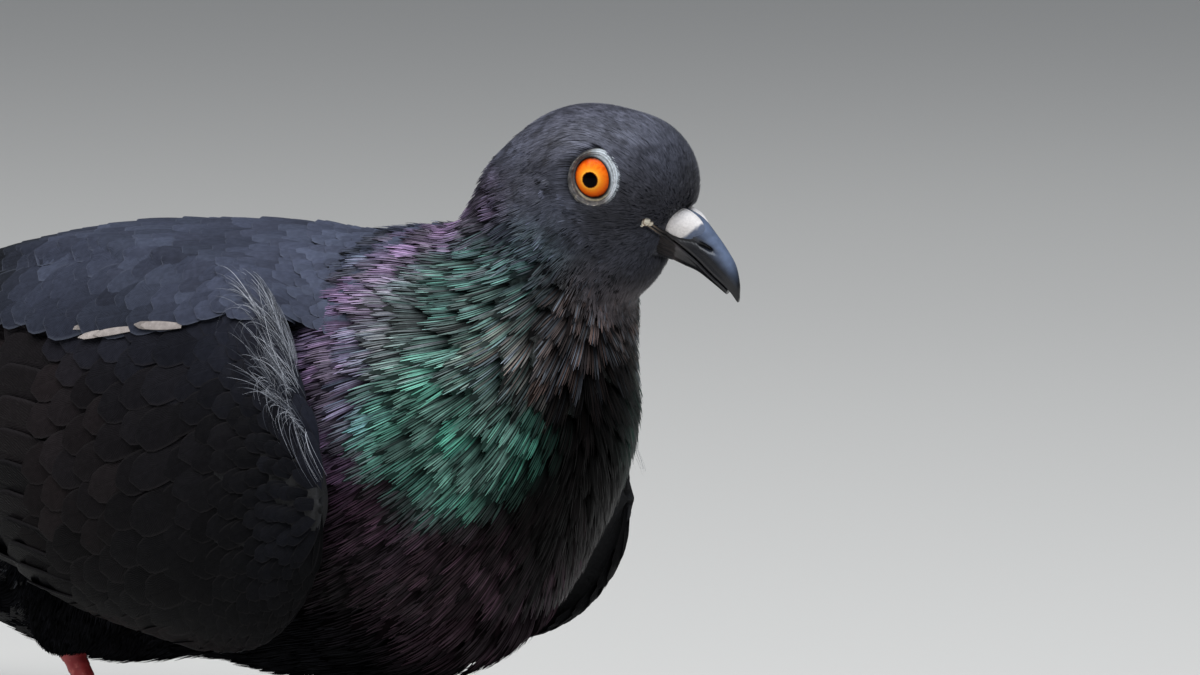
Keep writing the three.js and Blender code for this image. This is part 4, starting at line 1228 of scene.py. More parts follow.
def combs(
    coat, roots, uv, *, length, width, half, dim, askew, barbs, stations, seed, contrast, lift, ragged
):
    """Feathers as fans of narrow parallel barbs with blunt ends, over a short vane darkened as painted
    shade.

    The first five are one number a feather: its length, half the width of its fan and of a barb, how
    much its brightness varies, and how far it strays sideways for its length. lift is how high its
    barbs' ends stand and ragged how uneven they are."""
    draw = np.random.default_rng(seed)
    n = len(roots)
    sizes = length * draw.uniform(0.86, 1.12, n)
    path, normals = traced(roots, sizes, stations, -coat_depth(roots) - 0.25, draw.uniform(-0.2, 0.06, n))
    shades = comb_shades(roots, barbs, draw, contrast, dim)

    side = np.cross(normals, unit(np.gradient(path, axis=1)))
    place = np.linspace(-1, 1, barbs) + draw.uniform(-0.06, 0.06, (n, barbs))
    reach = 1 - 0.1 * place**2 - draw.uniform(0, 1, (n, barbs)) ** 1.5 * ragged
    share = np.linspace(0, 1, stations)
    at = share[None, None] * reach[..., None] * (stations - 1)
    below = np.minimum(at.astype(int), stations - 2)
    part = (at - below)[..., None]
    row = np.arange(n)[:, None, None]

    def along_path(values):
        return lerp(values[row, below], values[row, below + 1], part)

    out = place[..., None] * width[:, None, None] * (0.7 + 0.3 * share)
    out = out + askew[:, None, None] * draw.normal(0, 1, (n, 1, 1)) * sizes[:, None, None] * share
    bend = draw.normal(0, 0.07, (n, barbs, 1)) * share**2
    raised = 0.06 + draw.uniform(0, lift, (n, barbs, 1)) * share - 0.1 * place[..., None] ** 2 * share
    middle = along_path(path) + along_path(side) * (out + bend)[..., None]
    middle = middle + along_path(normals) * raised[..., None]
    profile = np.interp(share, [0, 0.3, 0.8, 1], [0.7, 1, 1, 0.35])
    halves = half[:, None, None] * draw.uniform(0.8, 1.15, (n, barbs, 1)) * profile
    strips = ribbons(
        middle.reshape(n * barbs, stations, 3),
        along_path(normals).reshape(n * barbs, stations, 3),
        halves.reshape(n * barbs, stations),
        draw.uniform(-BARB_TWIST, BARB_TWIST, n * barbs),
    )
    # Each barb is darker towards its root: painted shade where the feathers above cover it.
    painted_root_shade = np.interp(share, [0, 0.35, 0.6, 1], [0.1, 0.35, 0.9, 1.1])
    coat.add(strips, shades.reshape(-1, 1, 3) * painted_root_shade[None, :, None], np.repeat(uv, barbs, 0))
    # The short vane under the barbs takes a sixth of their colour: painted shade that shows in the gaps
    # between the barbs.
    profile = np.interp(share, [0, 0.4, 0.75, 1], [0.55, 0.9, 0.6, 0.02])
    under = across_vanes(path - normals * 0.14, normals, width[:, None] * profile, 3, 0.15)
    coat.add(under, shades.mean(1)[:, None] * 0.16, uv)


def comb_coat(name, material, skin, keep, size, *, spacing, stretch, seed, shape, **look):
    """Dresses the skin where `keep` is true with combs.

    Pairs give values for the least and the fullest feathers, and size(points) runs from 0 to 1
    between them. Roots stand `spacing` mm apart, and `stretch` times as far along the feathers."""
    points, faces = skin

    def way(p):
        return lie(p, unit(slope_of(body_field, p)))

    roots = scattered(
        points, faces, lambda p: lerp(*spacing, size(p)), keep, seed, way, lambda p: lerp(*stretch, size(p))
    )
    roots = roots[np.argsort(-roots[:, 2])]
    shape = {key: lerp(*pair, size(roots)) for key, pair in shape.items()}
    coat = Coat()
    combs(coat, roots, stretched(unwrapped(roots)), seed=seed + 1, **shape, **look)
    coat.piece(name, MATERIALS[material], name)


VANE_COLUMNS, VANE_CAMBER = 7, 0.16


def plain_vanes(coat, roots, *, length, half, tip, root, seed, uv, field, stations=8, way=lie, shades=None):
    """Feathers as one rounded vane each, from a level of the field at the root to one at the tip."""
    draw = np.random.default_rng(seed)
    n = len(roots)
    size = draw.uniform(0.9, 1.1, n)
    tips = tip + draw.uniform(-0.12, 0.12, n)
    path, normals = traced(roots, length * size, stations, root, tips, field, way)
    share = np.linspace(0, 1, stations)
    halves = (half * size)[:, None] * rounded(share)
    vanes = across_vanes(path, normals, halves, VANE_COLUMNS)
    fall = halves[..., None] * VANE_CAMBER * np.linspace(-1, 1, VANE_COLUMNS) ** 2
    level = field(path.reshape(-1, 3)).reshape(n, stations)[..., None] - fall
    for _ in range(2):
        off = field(vanes.reshape(-1, 3)).reshape(level.shape) - level
        vanes = vanes - normals[:, :, None] * off[..., None]
    if shades is None:
        shades = drawn_colours(*chosen_marks(roots, draw), draw, 0.4)
    shades = shades * draw.uniform(0.82, 1.15, (n, 1)) * (1 + 0.2 * noise(roots, 9, 76)[:, None])
    # Darker towards the root: painted shade where the vanes above overlap it.
    shade = shades[:, None] * np.interp(share, [0, 0.5, 1], [0.5, 0.9, 1.05])[None, :, None]
    coat.add(vanes, shade, uv)


def rounded(share):
    """Half width of a vane along its length, with a round tip."""
    body = np.interp(share, [0, 0.2, 0.5, 1], [0.5, 0.82, 1, 1])
    tip = np.sqrt(np.clip(1 - (np.clip(share - 0.68, 0, 1) / 0.322) ** 2, 0.0004, 1))
    return body * tip


HAIR_PROFILE = np.array([0.9, 1, 0.8, 0.1])  # half width of a hair-like feather along its length


def to_bill(points):
    """Distance to the bill's base."""
    return np.linalg.norm(to_head(points) - (12, 0, -5), axis=-1)


def hair_roots(points, faces, draw):
    """Roots over the head, thinning out on the neck, clear of the bill and the eyes' bare skin."""

    def keep(p):
        return head_share(p) > -7

    def spacing(p):
        return lerp(0.185, 0.235, smooth(4, 22, to_bill(p)))

    roots = strewn(points, faces, spacing, keep, draw)
    local = to_head(roots)
    thinned = draw.random(len(roots)) < smooth(-7, -1, head_share(roots))
    return roots[thinned & ~in_eye_patch(local, -0.1) & ~in_bill(local, 0.1)]


def hair_shades(roots, draw):
    """The head's markings, mottled more strongly away from the bill, with each hair darker towards its root
    as painted shade.
    """
    rough = smooth(6, 24, to_bill(roots))
    mottle = 1 + 0.2 * noise(roots, 6, 61) + lerp(0.12, 0.65, rough) * noise(roots, 1.4, 62)
    mottle = np.maximum(mottle + lerp(0.1, 0.25, rough) * noise(roots, 0.6, 63), 0.2)
    shades = mean_colours(roots) * (1.12 * mottle * draw.uniform(0.76, 1.24, len(roots)))[:, None]
    # Each hair darker towards its root: painted shade under the hairs that lie over it.
    return shades[:, None] * np.array([0.45, 0.78, 1.0, 1.05])[None, :, None]


def make_head_coat(points, faces):
    """Very short, hair-like feathers over the head, longer towards the nape and the throat."""
    draw = np.random.default_rng(11)
    roots = hair_roots(points, faces, draw)
    far = smooth(5, 28, to_bill(roots))
    length = lerp(1.3, 3.8, far) * draw.uniform(0.8, 1.2, len(roots))
    tips = draw.uniform(-0.1, 0.06, len(roots))
    path, normals = traced(roots, length, 4, -coat_depth(roots) - 0.25, tips, rise=0.55)
    tip = to_head(path[:, -1])
    clear = ~in_eye_patch(tip, -0.35) & ~in_eye_patch(to_head(path[:, 2]), -0.2) & ~in_bill(tip, 0.0)
    path, normals, roots, far = path[clear], normals[clear], roots[clear], far[clear]
    n = len(roots)
    shade = hair_shades(roots, draw)
    halves = lerp(0.078, 0.108, far)[:, None] * draw.uniform(0.85, 1.15, (n, 1)) * HAIR_PROFILE
    strips = ribbons(path, normals, halves, draw.uniform(-0.25, 0.25, n))
    uv = stretched(head_unwrapped(roots))
    crown = to_head(roots)[:, 2] > -3
    for name, part in (("plumage_crown", crown), ("plumage_face", ~crown)):
        coat = Coat()
        coat.add(strips[part], shade[part], uv[part])
        coat.piece(name, MATERIALS["head"], "plumage_head")


def on_mantle(points):
    """The back between the wings, behind the neck."""
    return (points[:, 0] < 22) & (points[:, 2] > 92)


def on_front(points):
    """The neck and the breast, down to where the softer feathers begin."""
    return (points[:, 0] > lerp(19, 8, smooth(112, 84, points[:, 2]))) & (points[:, 2] > 58)


def make_neck_coat(skin):
    """Combs of loose, glossy barbs round the neck and the breast."""
    comb_coat(
        "plumage_neck",
        "neck",
        skin,
        lambda p: on_front(p) & (head_share(p) < 3.5) & ~under_wing(p),
        lambda p: smooth(4, -18, head_share(p)),
        spacing=(1.0, 1.5),
        stretch=(1.15, 2.5),
        seed=21,
        shape={
            "length": (2.9, 9.6),
            "width": (0.72, 1.62),
            "half": (0.105, 0.14),
            "dim": (0.75, 0.42),
            "askew": (0.2, 0.035),
        },
        barbs=8,
        stations=6,
        contrast=0.6,
        lift=0.12,
        ragged=0.3,
    )


def make_body_coat(skin):
    """Softer feathers of the lower breast, belly, flanks, thighs, vent and rump."""
    comb_coat(
        "plumage_body",
        "soft",
        skin,
        lambda p: ~on_front(p) & (head_share(p) < 0) & ~under_wing(p) & ~on_mantle(p),
        lambda p: smooth(6, 30, to_hock(p)),
        spacing=(1.1, 2.3),
        stretch=(1.3, 2.2),
        seed=31,
        shape={
            "length": (3.6, 12.5),
            "width": (0.9, 2.5),
            "half": (0.1, 0.17),
            "dim": (0.2, 0.2),
            "askew": (0.0, 0.0),
        },
        barbs=9,
        stations=5,
        contrast=0.3,
        lift=0.2,
        ragged=0.35,
    )


def dressed_field(points):
    """The body and the folded wings as one form, for feathers that lie over both."""
    over_wings = lerp(3.1, 4.4, smooth(-26, -48, points[..., 0]))
    return soft_min(body_field(points) + 0.6, wing_field(points) - over_wings, 9)


def lie_back(points, normals):
    """Straight back, and a little outwards and down over the wings."""
    outwards = 0.2 * np.tanh(points[:, 1] / 6)
    flow = np.stack([-np.ones(len(points)), outwards, np.full(len(points), -0.16)], -1)
    flow -= normals * (flow * normals).sum(-1, keepdims=True)
    return unit(flow)


# The lower edge of the shoulders' feathers by X: Z of their roots, and the angle on the wing
scapular_edge = curve_through(
    [(-90, 103), (-72, 104), (-44, 106), (-16, 107.5), (-7, 108.5), (4, 110), (14, 109), (30, 106)]
)
scapular_angle = curve_through(
    [(-90, 34), (-38, 42), (-28, 45), (-19, 48), (-12, 51), (-6, 55), (7, 66), (20, 78)]
)


def above_edge(points):
    """Height over the lower edge of the shoulders' feathers, which droops on the left with the wing."""
    drooped = LEFT_WING_DROOP * (points[:, 0] - LEFT_WING_PIVOT) * smooth(-3, 10, points[:, 1])
    return points[:, 2] + drooped - scapular_edge(points[:, 0])


def mantle_shades(roots):
    """Slate blue, darker along the lower edge and at the rump."""
    x, height = roots[:, 0], above_edge(roots)
    draw = np.random.default_rng(43)
    shades = drawn_colours(["mantle"], np.zeros(len(roots), int), draw, 0.3)
    upper = smooth(-9, 3, height + 1.5 * noise(roots, 8, 44))[:, None]
    rear = smooth(-16, -60, x)[:, None]
    shades = lerp(linear((34, 38, 46)), shades, upper) * lerp(1, 0.85, rear * (1 - upper))
    shades = shades * lerp(1, 0.42, smooth(26, 2, height) * smooth(14, -14, x))[:, None]
    shades = shades * (1 + 0.22 * noise(roots, 11, 45))[:, None]
    return lerp(shades, linear((26, 28, 33)), smooth(-44, -70, x)[:, None])


def make_mantle_coat():
    """Broad rounded feathers of the back and the shoulders, lying over the wings' top edges."""
    points, faces = surface_of(dressed_field, (-86, -48, 80), (42, 48, 134), 2.2)

    def keep(p):
        return (above_edge(p) > 1) & (p[:, 0] < 28) & (p[:, 0] > -78)

    def spacing(p):
        return lerp(1.7, 3.7, smooth(24, -20, p[:, 0]))

    roots = scattered(points, faces, spacing, keep, 41)
    size = smooth(26, -22, roots[:, 0])
    coat = Coat()
    plain_vanes(
        coat,
        roots,
        length=lerp(5.5, 17, size),
        half=lerp(1.5, 4.8, size),
        tip=0.1,
        root=-1.3,
        seed=42,
        uv=stretched(unwrapped(roots)),
        field=dressed_field,
        stations=10,
        way=lie_back,
        shades=mantle_shades(roots),
    )
    coat.piece("plumage_mantle", MATERIALS["mantle"], "plumage_body")


# ----------------------------------------------------------------------------------------------------
# Wings


def wing_uv(x, angle):
    return np.stack([0.02 + 0.96 * (x + 175) / 210, 0.02 + 0.96 * (angle + 100) / 200], -1)


def wing_vanes(
    x, angle, *, length, half, root_lift, tip_lift, slant=0, tilt=0,
    stations=8, columns=7, camber=0.1, shape=rounded,
):
    """Vanes on the right wing from roots at (x, angle), all running to the rear, with their normals.

    slant is the turn down in degrees of angle over a vane; tilt raises its lower edge."""
    share = np.linspace(0, 1, stations)
    length, half, root_lift, tip_lift, slant = (
        np.broadcast_to(value, len(x))[:, None] for value in (length, half, root_lift, tip_lift, slant)
    )
    lifts = lerp(root_lift, tip_lift, 1 - (1 - share) ** 1.6)
    path, normals = wing_point(x[:, None] - length * share, angle[:, None] - slant * share, lifts)
    halves = half * shape(share)
    vanes = across_vanes(path, normals, halves, columns, camber)
    across = np.linspace(-1, 1, columns)
    vanes = vanes + normals[:, :, None] * (halves[..., None] * across * tilt)[..., None]
    return vanes, normals


ROW_EDGES = (-92, 92)  # angles between which the coverts' rows run


def rows_of(x_from, x_to, pitch, width):
    """Roots in staggered rows across the wing: x and angle of each."""
    xs, turns = [], []
    low, high = ROW_EDGES
    row = 0
    x = x_from
    while x > x_to:
        half = float(wing_half(np.array(min(x, WING_FRONT - 1.5))))
        arc = math.radians(high - low) * math.sqrt((half**2 + float(wing_bulge(x)) ** 2) / 2)
        count = max(int(arc / width(x)), 3)
        step = (high - low) / count
        turns.append(low + (np.arange(count) + (0.5 if row % 2 else 0.0)) * step)
        xs.append(np.full(count, float(x)))
        x -= pitch(x)
        row += 1
    return np.concatenate(xs), np.concatenate(turns)


def covert_roots(x_from, x_to, pitch, width, stray, draw):
    """Rows whose roots stray by up to (mm, degrees), where the shoulder's feathers leave them in sight."""
    x, angle = rows_of(x_from, x_to, pitch, width)
    x = x + draw.uniform(-stray[0], stray[0], len(x))
    angle = angle + draw.uniform(-stray[1], stray[1], len(x))
    seen = angle < scapular_angle(x) + 9
    return x[seen], angle[seen]


def wing_shades(x, angle, draw):
    """Near black, browner towards the rear middle, with a bluish slate upper edge and front."""
    black, brown, blue = linear((13, 13, 15)), linear((58, 49, 49)), linear((40, 42, 52))
    browner = np.exp(-((x + 44) ** 2) / 900 - (angle - 14) ** 2 / 1200)
    shade = lerp(black, brown, (browner * draw.uniform(0.2, 1, len(x)))[:, None])
    middle = smooth(-30, 20, angle) * smooth(30, 10, x)
    shade = lerp(shade, linear((30, 29, 33)), (0.6 * middle * draw.uniform(0.3, 1, len(x)))[:, None])
    edge = np.maximum(smooth(22, 60, angle), smooth(16, 30, x) * 0.3 * smooth(-70, -10, angle))
    shade = lerp(shade, blue, (edge * draw.uniform(0.5, 1, len(x)))[:, None])
    return shade * draw.uniform(0.8, 1.2, (len(x), 1))


# Flight feathers of a wing: name, count, angles, x of the roots, x of the tips, lift of the tips, half width
FLIGHT_THICKNESS = 0.35
WING_TIERS = [
    ("greater", 13, (-84, 62), (-22, -28), (-52, -66), 2.0, 5.0),
    ("secondaries", 10, (-84, 50), (-34, -40), (-80, -108), 1.2, 6.5),
    ("tertials", 4, (42, 90), (-36, -40), (-118, -96), 1.6, 8.0),
    ("primaries", 8, (-80, 58), (-76, -82), (-168, -128), -0.6, 5.5),
]
WHITE_VANES = [(-20, 41.5), (-23, 40), (-27, 41), (-7, 46.5), (-9.5, 45)]  # x and angle of the roots


def put(coat, side, made, shades, x, angle, thick=0.0, patch=0.003):
    """Adds vanes made for the right wing to a coat, mirrored where it is the left one's."""
    vanes, normals = made
    if side == "left":
        vanes, normals = to_left_wing(vanes), normals * (1, -1, 1)
    coat.add(vanes, shades, wing_uv(x, angle), thick=thick, normals=normals, patch=patch)


def add_small_coverts(coat, side, draw):
    """Coverts that grow in size from the bend of the wing back."""

    def size(x):
        return smooth(31, 6, x)

    x, angle = covert_roots(
        31.8, 1, lambda x: lerp(1.5, 3.4, size(x)), lambda x: lerp(1.9, 4.6, size(x)), (0.5, 2), draw
    )
    grown = smooth(31, 4, x)
    length = lerp(4.5, 12.5, grown)
    made = wing_vanes(
        x,
        angle,
        length=length,
        half=lerp(1.35, 3.3, grown),
        root_lift=CORE_LIFT(x) - 0.9,
        tip_lift=np.maximum(CORE_LIFT(x - length) + 0.5, 1.5),
        slant=lerp(4, 13, grown),
    )
    put(coat, side, made, wing_shades(x, angle, draw), x, angle)


def add_median_coverts(coat, side, draw):
    x, angle = covert_roots(2, -32, lambda x: 5.6, lambda x: 5.8, (0.9, 1.8), draw)
    made = wing_vanes(
        x,
        angle,
        length=draw.uniform(14, 17, len(x)),
        half=draw.uniform(3.7, 4.3, len(x)),
        root_lift=CORE_LIFT(x) - 0.6,
        tip_lift=2.2,
        slant=14,
        stations=10,
    )
    put(coat, side, made, wing_shades(x, angle, draw), x, angle)


def add_white_vanes(coat, side, draw):
    x, angle = np.array(WHITE_VANES, float).T
    made = wing_vanes(
        x,
        angle,
        length=draw.uniform(10, 13, len(x)),
        half=draw.uniform(0.75, 1.05, len(x)),
        root_lift=2.2,
        tip_lift=2.9,
        slant=draw.uniform(2, 7, len(x)),
    )
    put(coat, side, made, linear((196, 186, 182)) * draw.uniform(0.5, 1, (len(x), 1)), x, angle)


def add_flight_feathers(coat, side, draw):
    for _, count, angles, root, tip, rest, half in WING_TIERS:
        step = np.arange(count) / (count - 1)
        angle = angles[0] + (np.arange(count) + 0.5) * (angles[1] - angles[0]) / count
        x = lerp(root[0], root[1], step)
        made = wing_vanes(
            x,
            angle,
            length=x - lerp(tip[0], tip[1], step),
            half=half,
            root_lift=CORE_LIFT(x) - 1.2,
            tip_lift=rest,
            tilt=-0.12,
            stations=22,
            columns=9,
            camber=0.08,
            shape=long_vane,
        )
        put(coat, side, made, wing_shades(x, angle, draw), x, angle, thick=FLIGHT_THICKNESS, patch=0.02)


def make_wing(side):
    """Small coverts from the bend, median coverts, and the long feathers of the folded wing."""
    draw = np.random.default_rng(51)
    name = "wing_" + side
    coverts = Coat()
    add_small_coverts(coverts, side, draw)
    add_median_coverts(coverts, side, draw)
    add_white_vanes(coverts, side, draw)
    coverts.piece(name + "_coverts", MATERIALS["covert"], "plumage_body", name)
    flight = Coat()
    add_flight_feathers(flight, side, draw)
    flight.piece(name + "_flight", MATERIALS["flight"], "flight_feathers")
    make_wing_base(name, side)
    make_wisps(name, side)


def long_vane(share):
    """Half width of a flight feather along its length."""
    tip = np.sqrt(np.clip(1 - (np.clip(share - 0.86, 0, 1) / 0.141) ** 2, 0.0004, 1))
    return np.interp(share, [0, 0.3, 0.7, 1], [0.5, 0.9, 1, 0.9]) * tip


# Tufts of loose pale barbs at the shoulder: x and angle on the wing, heading (back is 180) and length
WISPS = [
    (22, 84, 168, 17),
    (20, 80, 185, 19),
    (21, 86, 150, 12),
    (24, 80, 205, 12),
    (23, 72, 222, 14),
    (21, 56, 205, 11),
    (23, 52, 232, 13),
    (26, 62, 246, 11),
    (28, 66, 254, 9),
    (24, 66, 178, 12),
    (15, 84, 146, 13),
    (13, 74, 170, 14),
]


def make_wisps(name, side):
    """Thin curved barbs that fan loosely out over the shoulder, most of them faint."""
    draw = np.random.default_rng(57)
    each, stations = 26, 10
    tufts = np.repeat(np.array(WISPS, float), each, 0)
    n = len(tufts)
    share = np.linspace(0, 1, stations)
    x0 = tufts[:, 0] + draw.normal(0, 0.9, n)
    angle0 = tufts[:, 1] + draw.normal(0, 2.2, n)
    fan = draw.normal(0, 22, n)
    heading = np.radians(tufts[:, 2] + fan)
    curl = draw.normal(0.25, 0.3, n) + 0.02 * fan
    length = tufts[:, 3] * draw.uniform(0.35, 1.2, n)
    ways = heading[:, None] + curl[:, None] * share
    steps = (length / (stations - 1))[:, None]
    xs = x0[:, None] + np.cumsum(np.cos(ways) * steps, 1)
    angles = angle0[:, None] + np.cumsum(np.sin(ways) * steps, 1) * 1.6
    lifts = 2.3 + draw.uniform(0.3, 1.6, n)[:, None] * np.sin(share * math.pi * 0.75)
    path, normals = wing_point(np.minimum(xs, 31.5), np.clip(angles, -88, 88), lifts)
    halves = draw.uniform(0.028, 0.05, (n, 1)) * np.interp(share, [0, 0.3, 0.8, 1], [0.8, 1, 0.7, 0.15])
    strips = ribbons(path, normals, halves, draw.uniform(-0.5, 0.5, n))
    shades = lerp(linear((58, 62, 72)), linear((178, 182, 192)), draw.uniform(0, 1, (n, 1)) ** 2.4)
    coat = Coat()
    put(coat, side, (strips, normals), shades, x0, angle0)
    coat.piece(name + "_wisps", MATERIALS["wisp"], "plumage_body")


def make_wing_base(name, side):
    """The folded arm under the feathers, as a thin closed shell."""
    stations = np.array([32.3, 31.4, 29.5, 26, 20, 12, 2, -10, -24, -40, -56, -72, -88, -104])
    angles = np.linspace(-90, 90, 25)
    x, angle = np.meshgrid(stations, angles, indexing="ij")
    outer, normal = wing_point(x, angle, CORE_LIFT(x) - 0.5)
    depth = 1.4 + lerp(9, 2, smooth(-20, -104, x)) * np.cos(np.radians(angle)) * smooth(32.4, 27, x)
    inner = outer - normal * depth[..., None]
    rows, columns = x.shape
    points = np.concatenate([outer.reshape(-1, 3), inner.reshape(-1, 3)])
    if side == "left":
        points = to_left_wing(points)
    faces = grid_faces(rows, columns)
    faces = np.concatenate([faces, faces[:, ::-1] + rows * columns, rim_faces(rows, columns)])
    tint = np.broadcast_to(linear((20, 21, 25)), (len(points), 3))
    base = mesh_piece(name + "_base", points, faces, MATERIALS["skin"], {"tint": tint})


# ----------------------------------------------------------------------------------------------------
# Tail

TAIL_LAYER, TAIL_TURN, TAIL_ROOT_STEP, TAIL_SINK = 0.5, 0.85, 1.7, 3  # mm, degrees, mm, mm


def make_tail():
    """Twelve feathers in a closed fan, the middle pair on top."""
    draw = np.random.default_rng(61)
    coat = Coat()
    share = np.concatenate([np.linspace(0, 0.85, 14), np.linspace(0.88, 1, 8)])
    shape = np.interp(share, [0, 0.5, 0.9, 0.955, 0.985, 1], [0.5, 0.92, 1, 0.8, 0.5, 0.1])
    across = np.linspace(-1, 1, 9)
    slate, band = linear((46, 49, 56)), linear((20, 20, 24))
    for order in range(TAIL_PAIRS):
        for side in (-1, 1):
            turn = math.radians(side * TAIL_TURN * (order + 0.5))
            layer = -TAIL_LAYER * (2 * order + (1 if side > 0 else 0)) - TAIL_SINK
            along = lerp(-6, TAIL_LENGTH - 0.5 * order**2, share)
            out = shape[:, None] * TAIL_WIDTH / 2 * across
            start = side * TAIL_ROOT_STEP * (order + 0.5)
            back = along[:, None] * math.cos(turn) - out * math.sin(turn)
            sideways = start + along[:, None] * math.sin(turn) + out * math.cos(turn)
            up = layer - 0.35 * across**2 + 0.1 * (np.abs(across) < 0.05)
            vane = from_tail(np.stack([back, sideways, np.broadcast_to(up, back.shape)], -1))
            normal = from_tail((0, 0, 1)) - from_tail((0, 0, 0))
            normals = np.broadcast_to(normal, (1, len(share), 3))
            dark = smooth(0.72, 0.78, share)[:, None]
            shade = lerp(slate, band, dark) * draw.uniform(0.85, 1.15)
            uv = np.array([[0.5 + side * (0.04 + 0.075 * order), 0.5]])
            coat.add(vane[None], shade[None], uv, thick=FLIGHT_THICKNESS, normals=normals, patch=0.06)
    coat.piece("tail_feathers", MATERIALS["flight"], "flight_feathers", "tail")


def make_tail_coverts():
    """Longer feathers over and under the roots of the tail."""

    def field(points):
        return blended(points, [*TAIL_COVERT_MASSES, TRUNK_MASSES[5], TRUNK_MASSES[3]], 6) + 1.2

    points, faces = surface_of(field, (-150, -40, 34), (-58, 40, 116), 2.6)

    def keep(p):
        return (p[:, 0] < -64) & (p[:, 0] > -122)

    roots = scattered(points, faces, lambda p: np.full(len(p), 4.2), keep, 71)
    coat = Coat()
    plain_vanes(
        coat,
        roots,
        length=lerp(13, 19, smooth(-66, -100, roots[:, 0])),
        half=4.0,
        tip=1.0,
        root=-0.5,
        seed=72,
        uv=stretched(unwrapped(roots)),
        field=field,
    )
    coat.piece("plumage_tail_coverts", MATERIALS["mantle"], "plumage_body")


# ----------------------------------------------------------------------------------------------------
# Eyes


IRIS_HALF = (3.25, 3.8)  # the opening between the lids, across and along its long axis
LID_TILT = math.radians(30)  # of the opening's long axis, back from upright in the head's frame


def between_lids(turn):
    """X and Z of the opening's edge at an angle round it."""
    c, s = np.cos(turn - LID_TILT), np.sin(turn - LID_TILT)
    x = IRIS_HALF[0] * c * math.cos(LID_TILT) - IRIS_HALF[1] * s * math.sin(LID_TILT)
    z = IRIS_HALF[0] * c * math.sin(LID_TILT) + IRIS_HALF[1] * s * math.cos(LID_TILT)
    return x, z


PUPIL_DROP = 0.35  # of the pupil under the eye's middle


def make_eye(side, name):
    """A closed ball whose iris and pupil are found by the distance from its axis."""
    rings, around = 95, 160
    fall = np.linspace(0, math.pi, rings + 2)[1:-1]
    turn = np.arange(around) * 2 * math.pi / around
    fall, turn = np.meshgrid(fall, turn, indexing="ij")
    local = np.stack([np.sin(fall) * np.cos(turn), np.sin(fall) * np.sin(turn), np.cos(fall)], -1)
    poles = np.array([[0, 0, 1], [0, 0, -1]], float)
    ball = np.concatenate([local.reshape(-1, 3), poles]) * EYE_RADIUS
    faces = capped_faces(rings, around)
    if side > 0:
        faces = faces[:, ::-1]
    from_axis = np.hypot(ball[:, 0], ball[:, 2])
    drop = PUPIL_DROP * smooth(3.2, 1.4, from_axis)
    radius = np.hypot(ball[:, 0], ball[:, 2] + drop) + np.where(ball[:, 1] < 0, 5, 0)
    angle = np.arctan2(ball[:, 2], ball[:, 0])
    # The iris's upper part, which takes the veins and the painted shade of the lid.
    high = smooth(0.1, 0.9, np.sin(angle)) * smooth(1.6, 2.6, from_axis)
    iris = np.stack([radius, np.abs(angle / math.pi), high], -1)
    points = from_head(ball * (1, side, 1) + (0, side * EYE_OFFSET, 0))
    piece = mesh_piece(name + "_ball", points, faces, MATERIALS["eye"], {"iris": iris})
    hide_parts(name)


RING_CENTRE, RING_HALF = (0.55, -0.05), (4.7, 5.2)  # of the bare skin, along and up from the eye's middle
LID_SHARE = 0.07  # of the bare skin's width that the lid's dark margin takes


def ring_tint(local, turn, share, wrinkles, grains):
    """Grey skin, ochre in front below, speckled and blotched behind, with painted light in front and above
    and on the crests of its wrinkles and grains, and painted shade in their hollows, in a crease and towards
    the feathered edge.
    """
    facing = np.cos(turn - math.radians(38))
    # Paler in front and above: painted light on the side that the light falls on.
    light = smooth(0.0, 0.75, facing + 0.12 * noise(local, 2.2, 14)) * smooth(0.1, 0.22, share)
    tint = lerp(linear((98, 96, 96)), linear((190, 198, 205)), light[..., None])
    speck = smooth(0.1, 0.8, noise(local, 0.42, 15)) * smooth(0.5, -0.2, facing) * smooth(0.2, 0.4, share)
    tint = lerp(tint, linear((150, 144, 134)), (0.9 * speck)[..., None])
    lower = np.exp(-(((share - 0.2) / 0.09) ** 2)) * smooth(0.3, 0.9, np.cos(turn + math.radians(75)))
    tint = lerp(tint, linear((206, 192, 158)), 0.8 * lower[..., None])
    blotch = smooth(-0.3, 0.6, noise(local, 0.8, 13)) * smooth(0.5, -0.5, facing)
    tint = tint * (1 - 0.5 * blotch * smooth(0.2, 0.4, share))[..., None]
    # A darker band: painted shade in a crease.
    groove = np.exp(-(((share - 0.3) / 0.045) ** 2)) * smooth(-0.4, 0.4, facing)
    tint = tint * (1 - 0.35 * groove)[..., None]
    # Lighter on the raised wrinkles and grains and darker in their hollows: painted light and shade.
    tint = tint * (1 + 0.9 * (wrinkles / 0.055 * 0.22 + grains * 2.2))[..., None]
    # Darker towards the outer edge, most behind: painted shade under the overhanging feathers.
    tint = tint * lerp(1, lerp(0.45, 0.8, smooth(-0.2, 0.6, facing)), smooth(0.7, 1, share))[..., None]
    tint = lerp(linear((8, 8, 9)), tint, smooth(LID_SHARE - 0.02, LID_SHARE + 0.07, share)[..., None])
    return np.maximum(tint, 0)


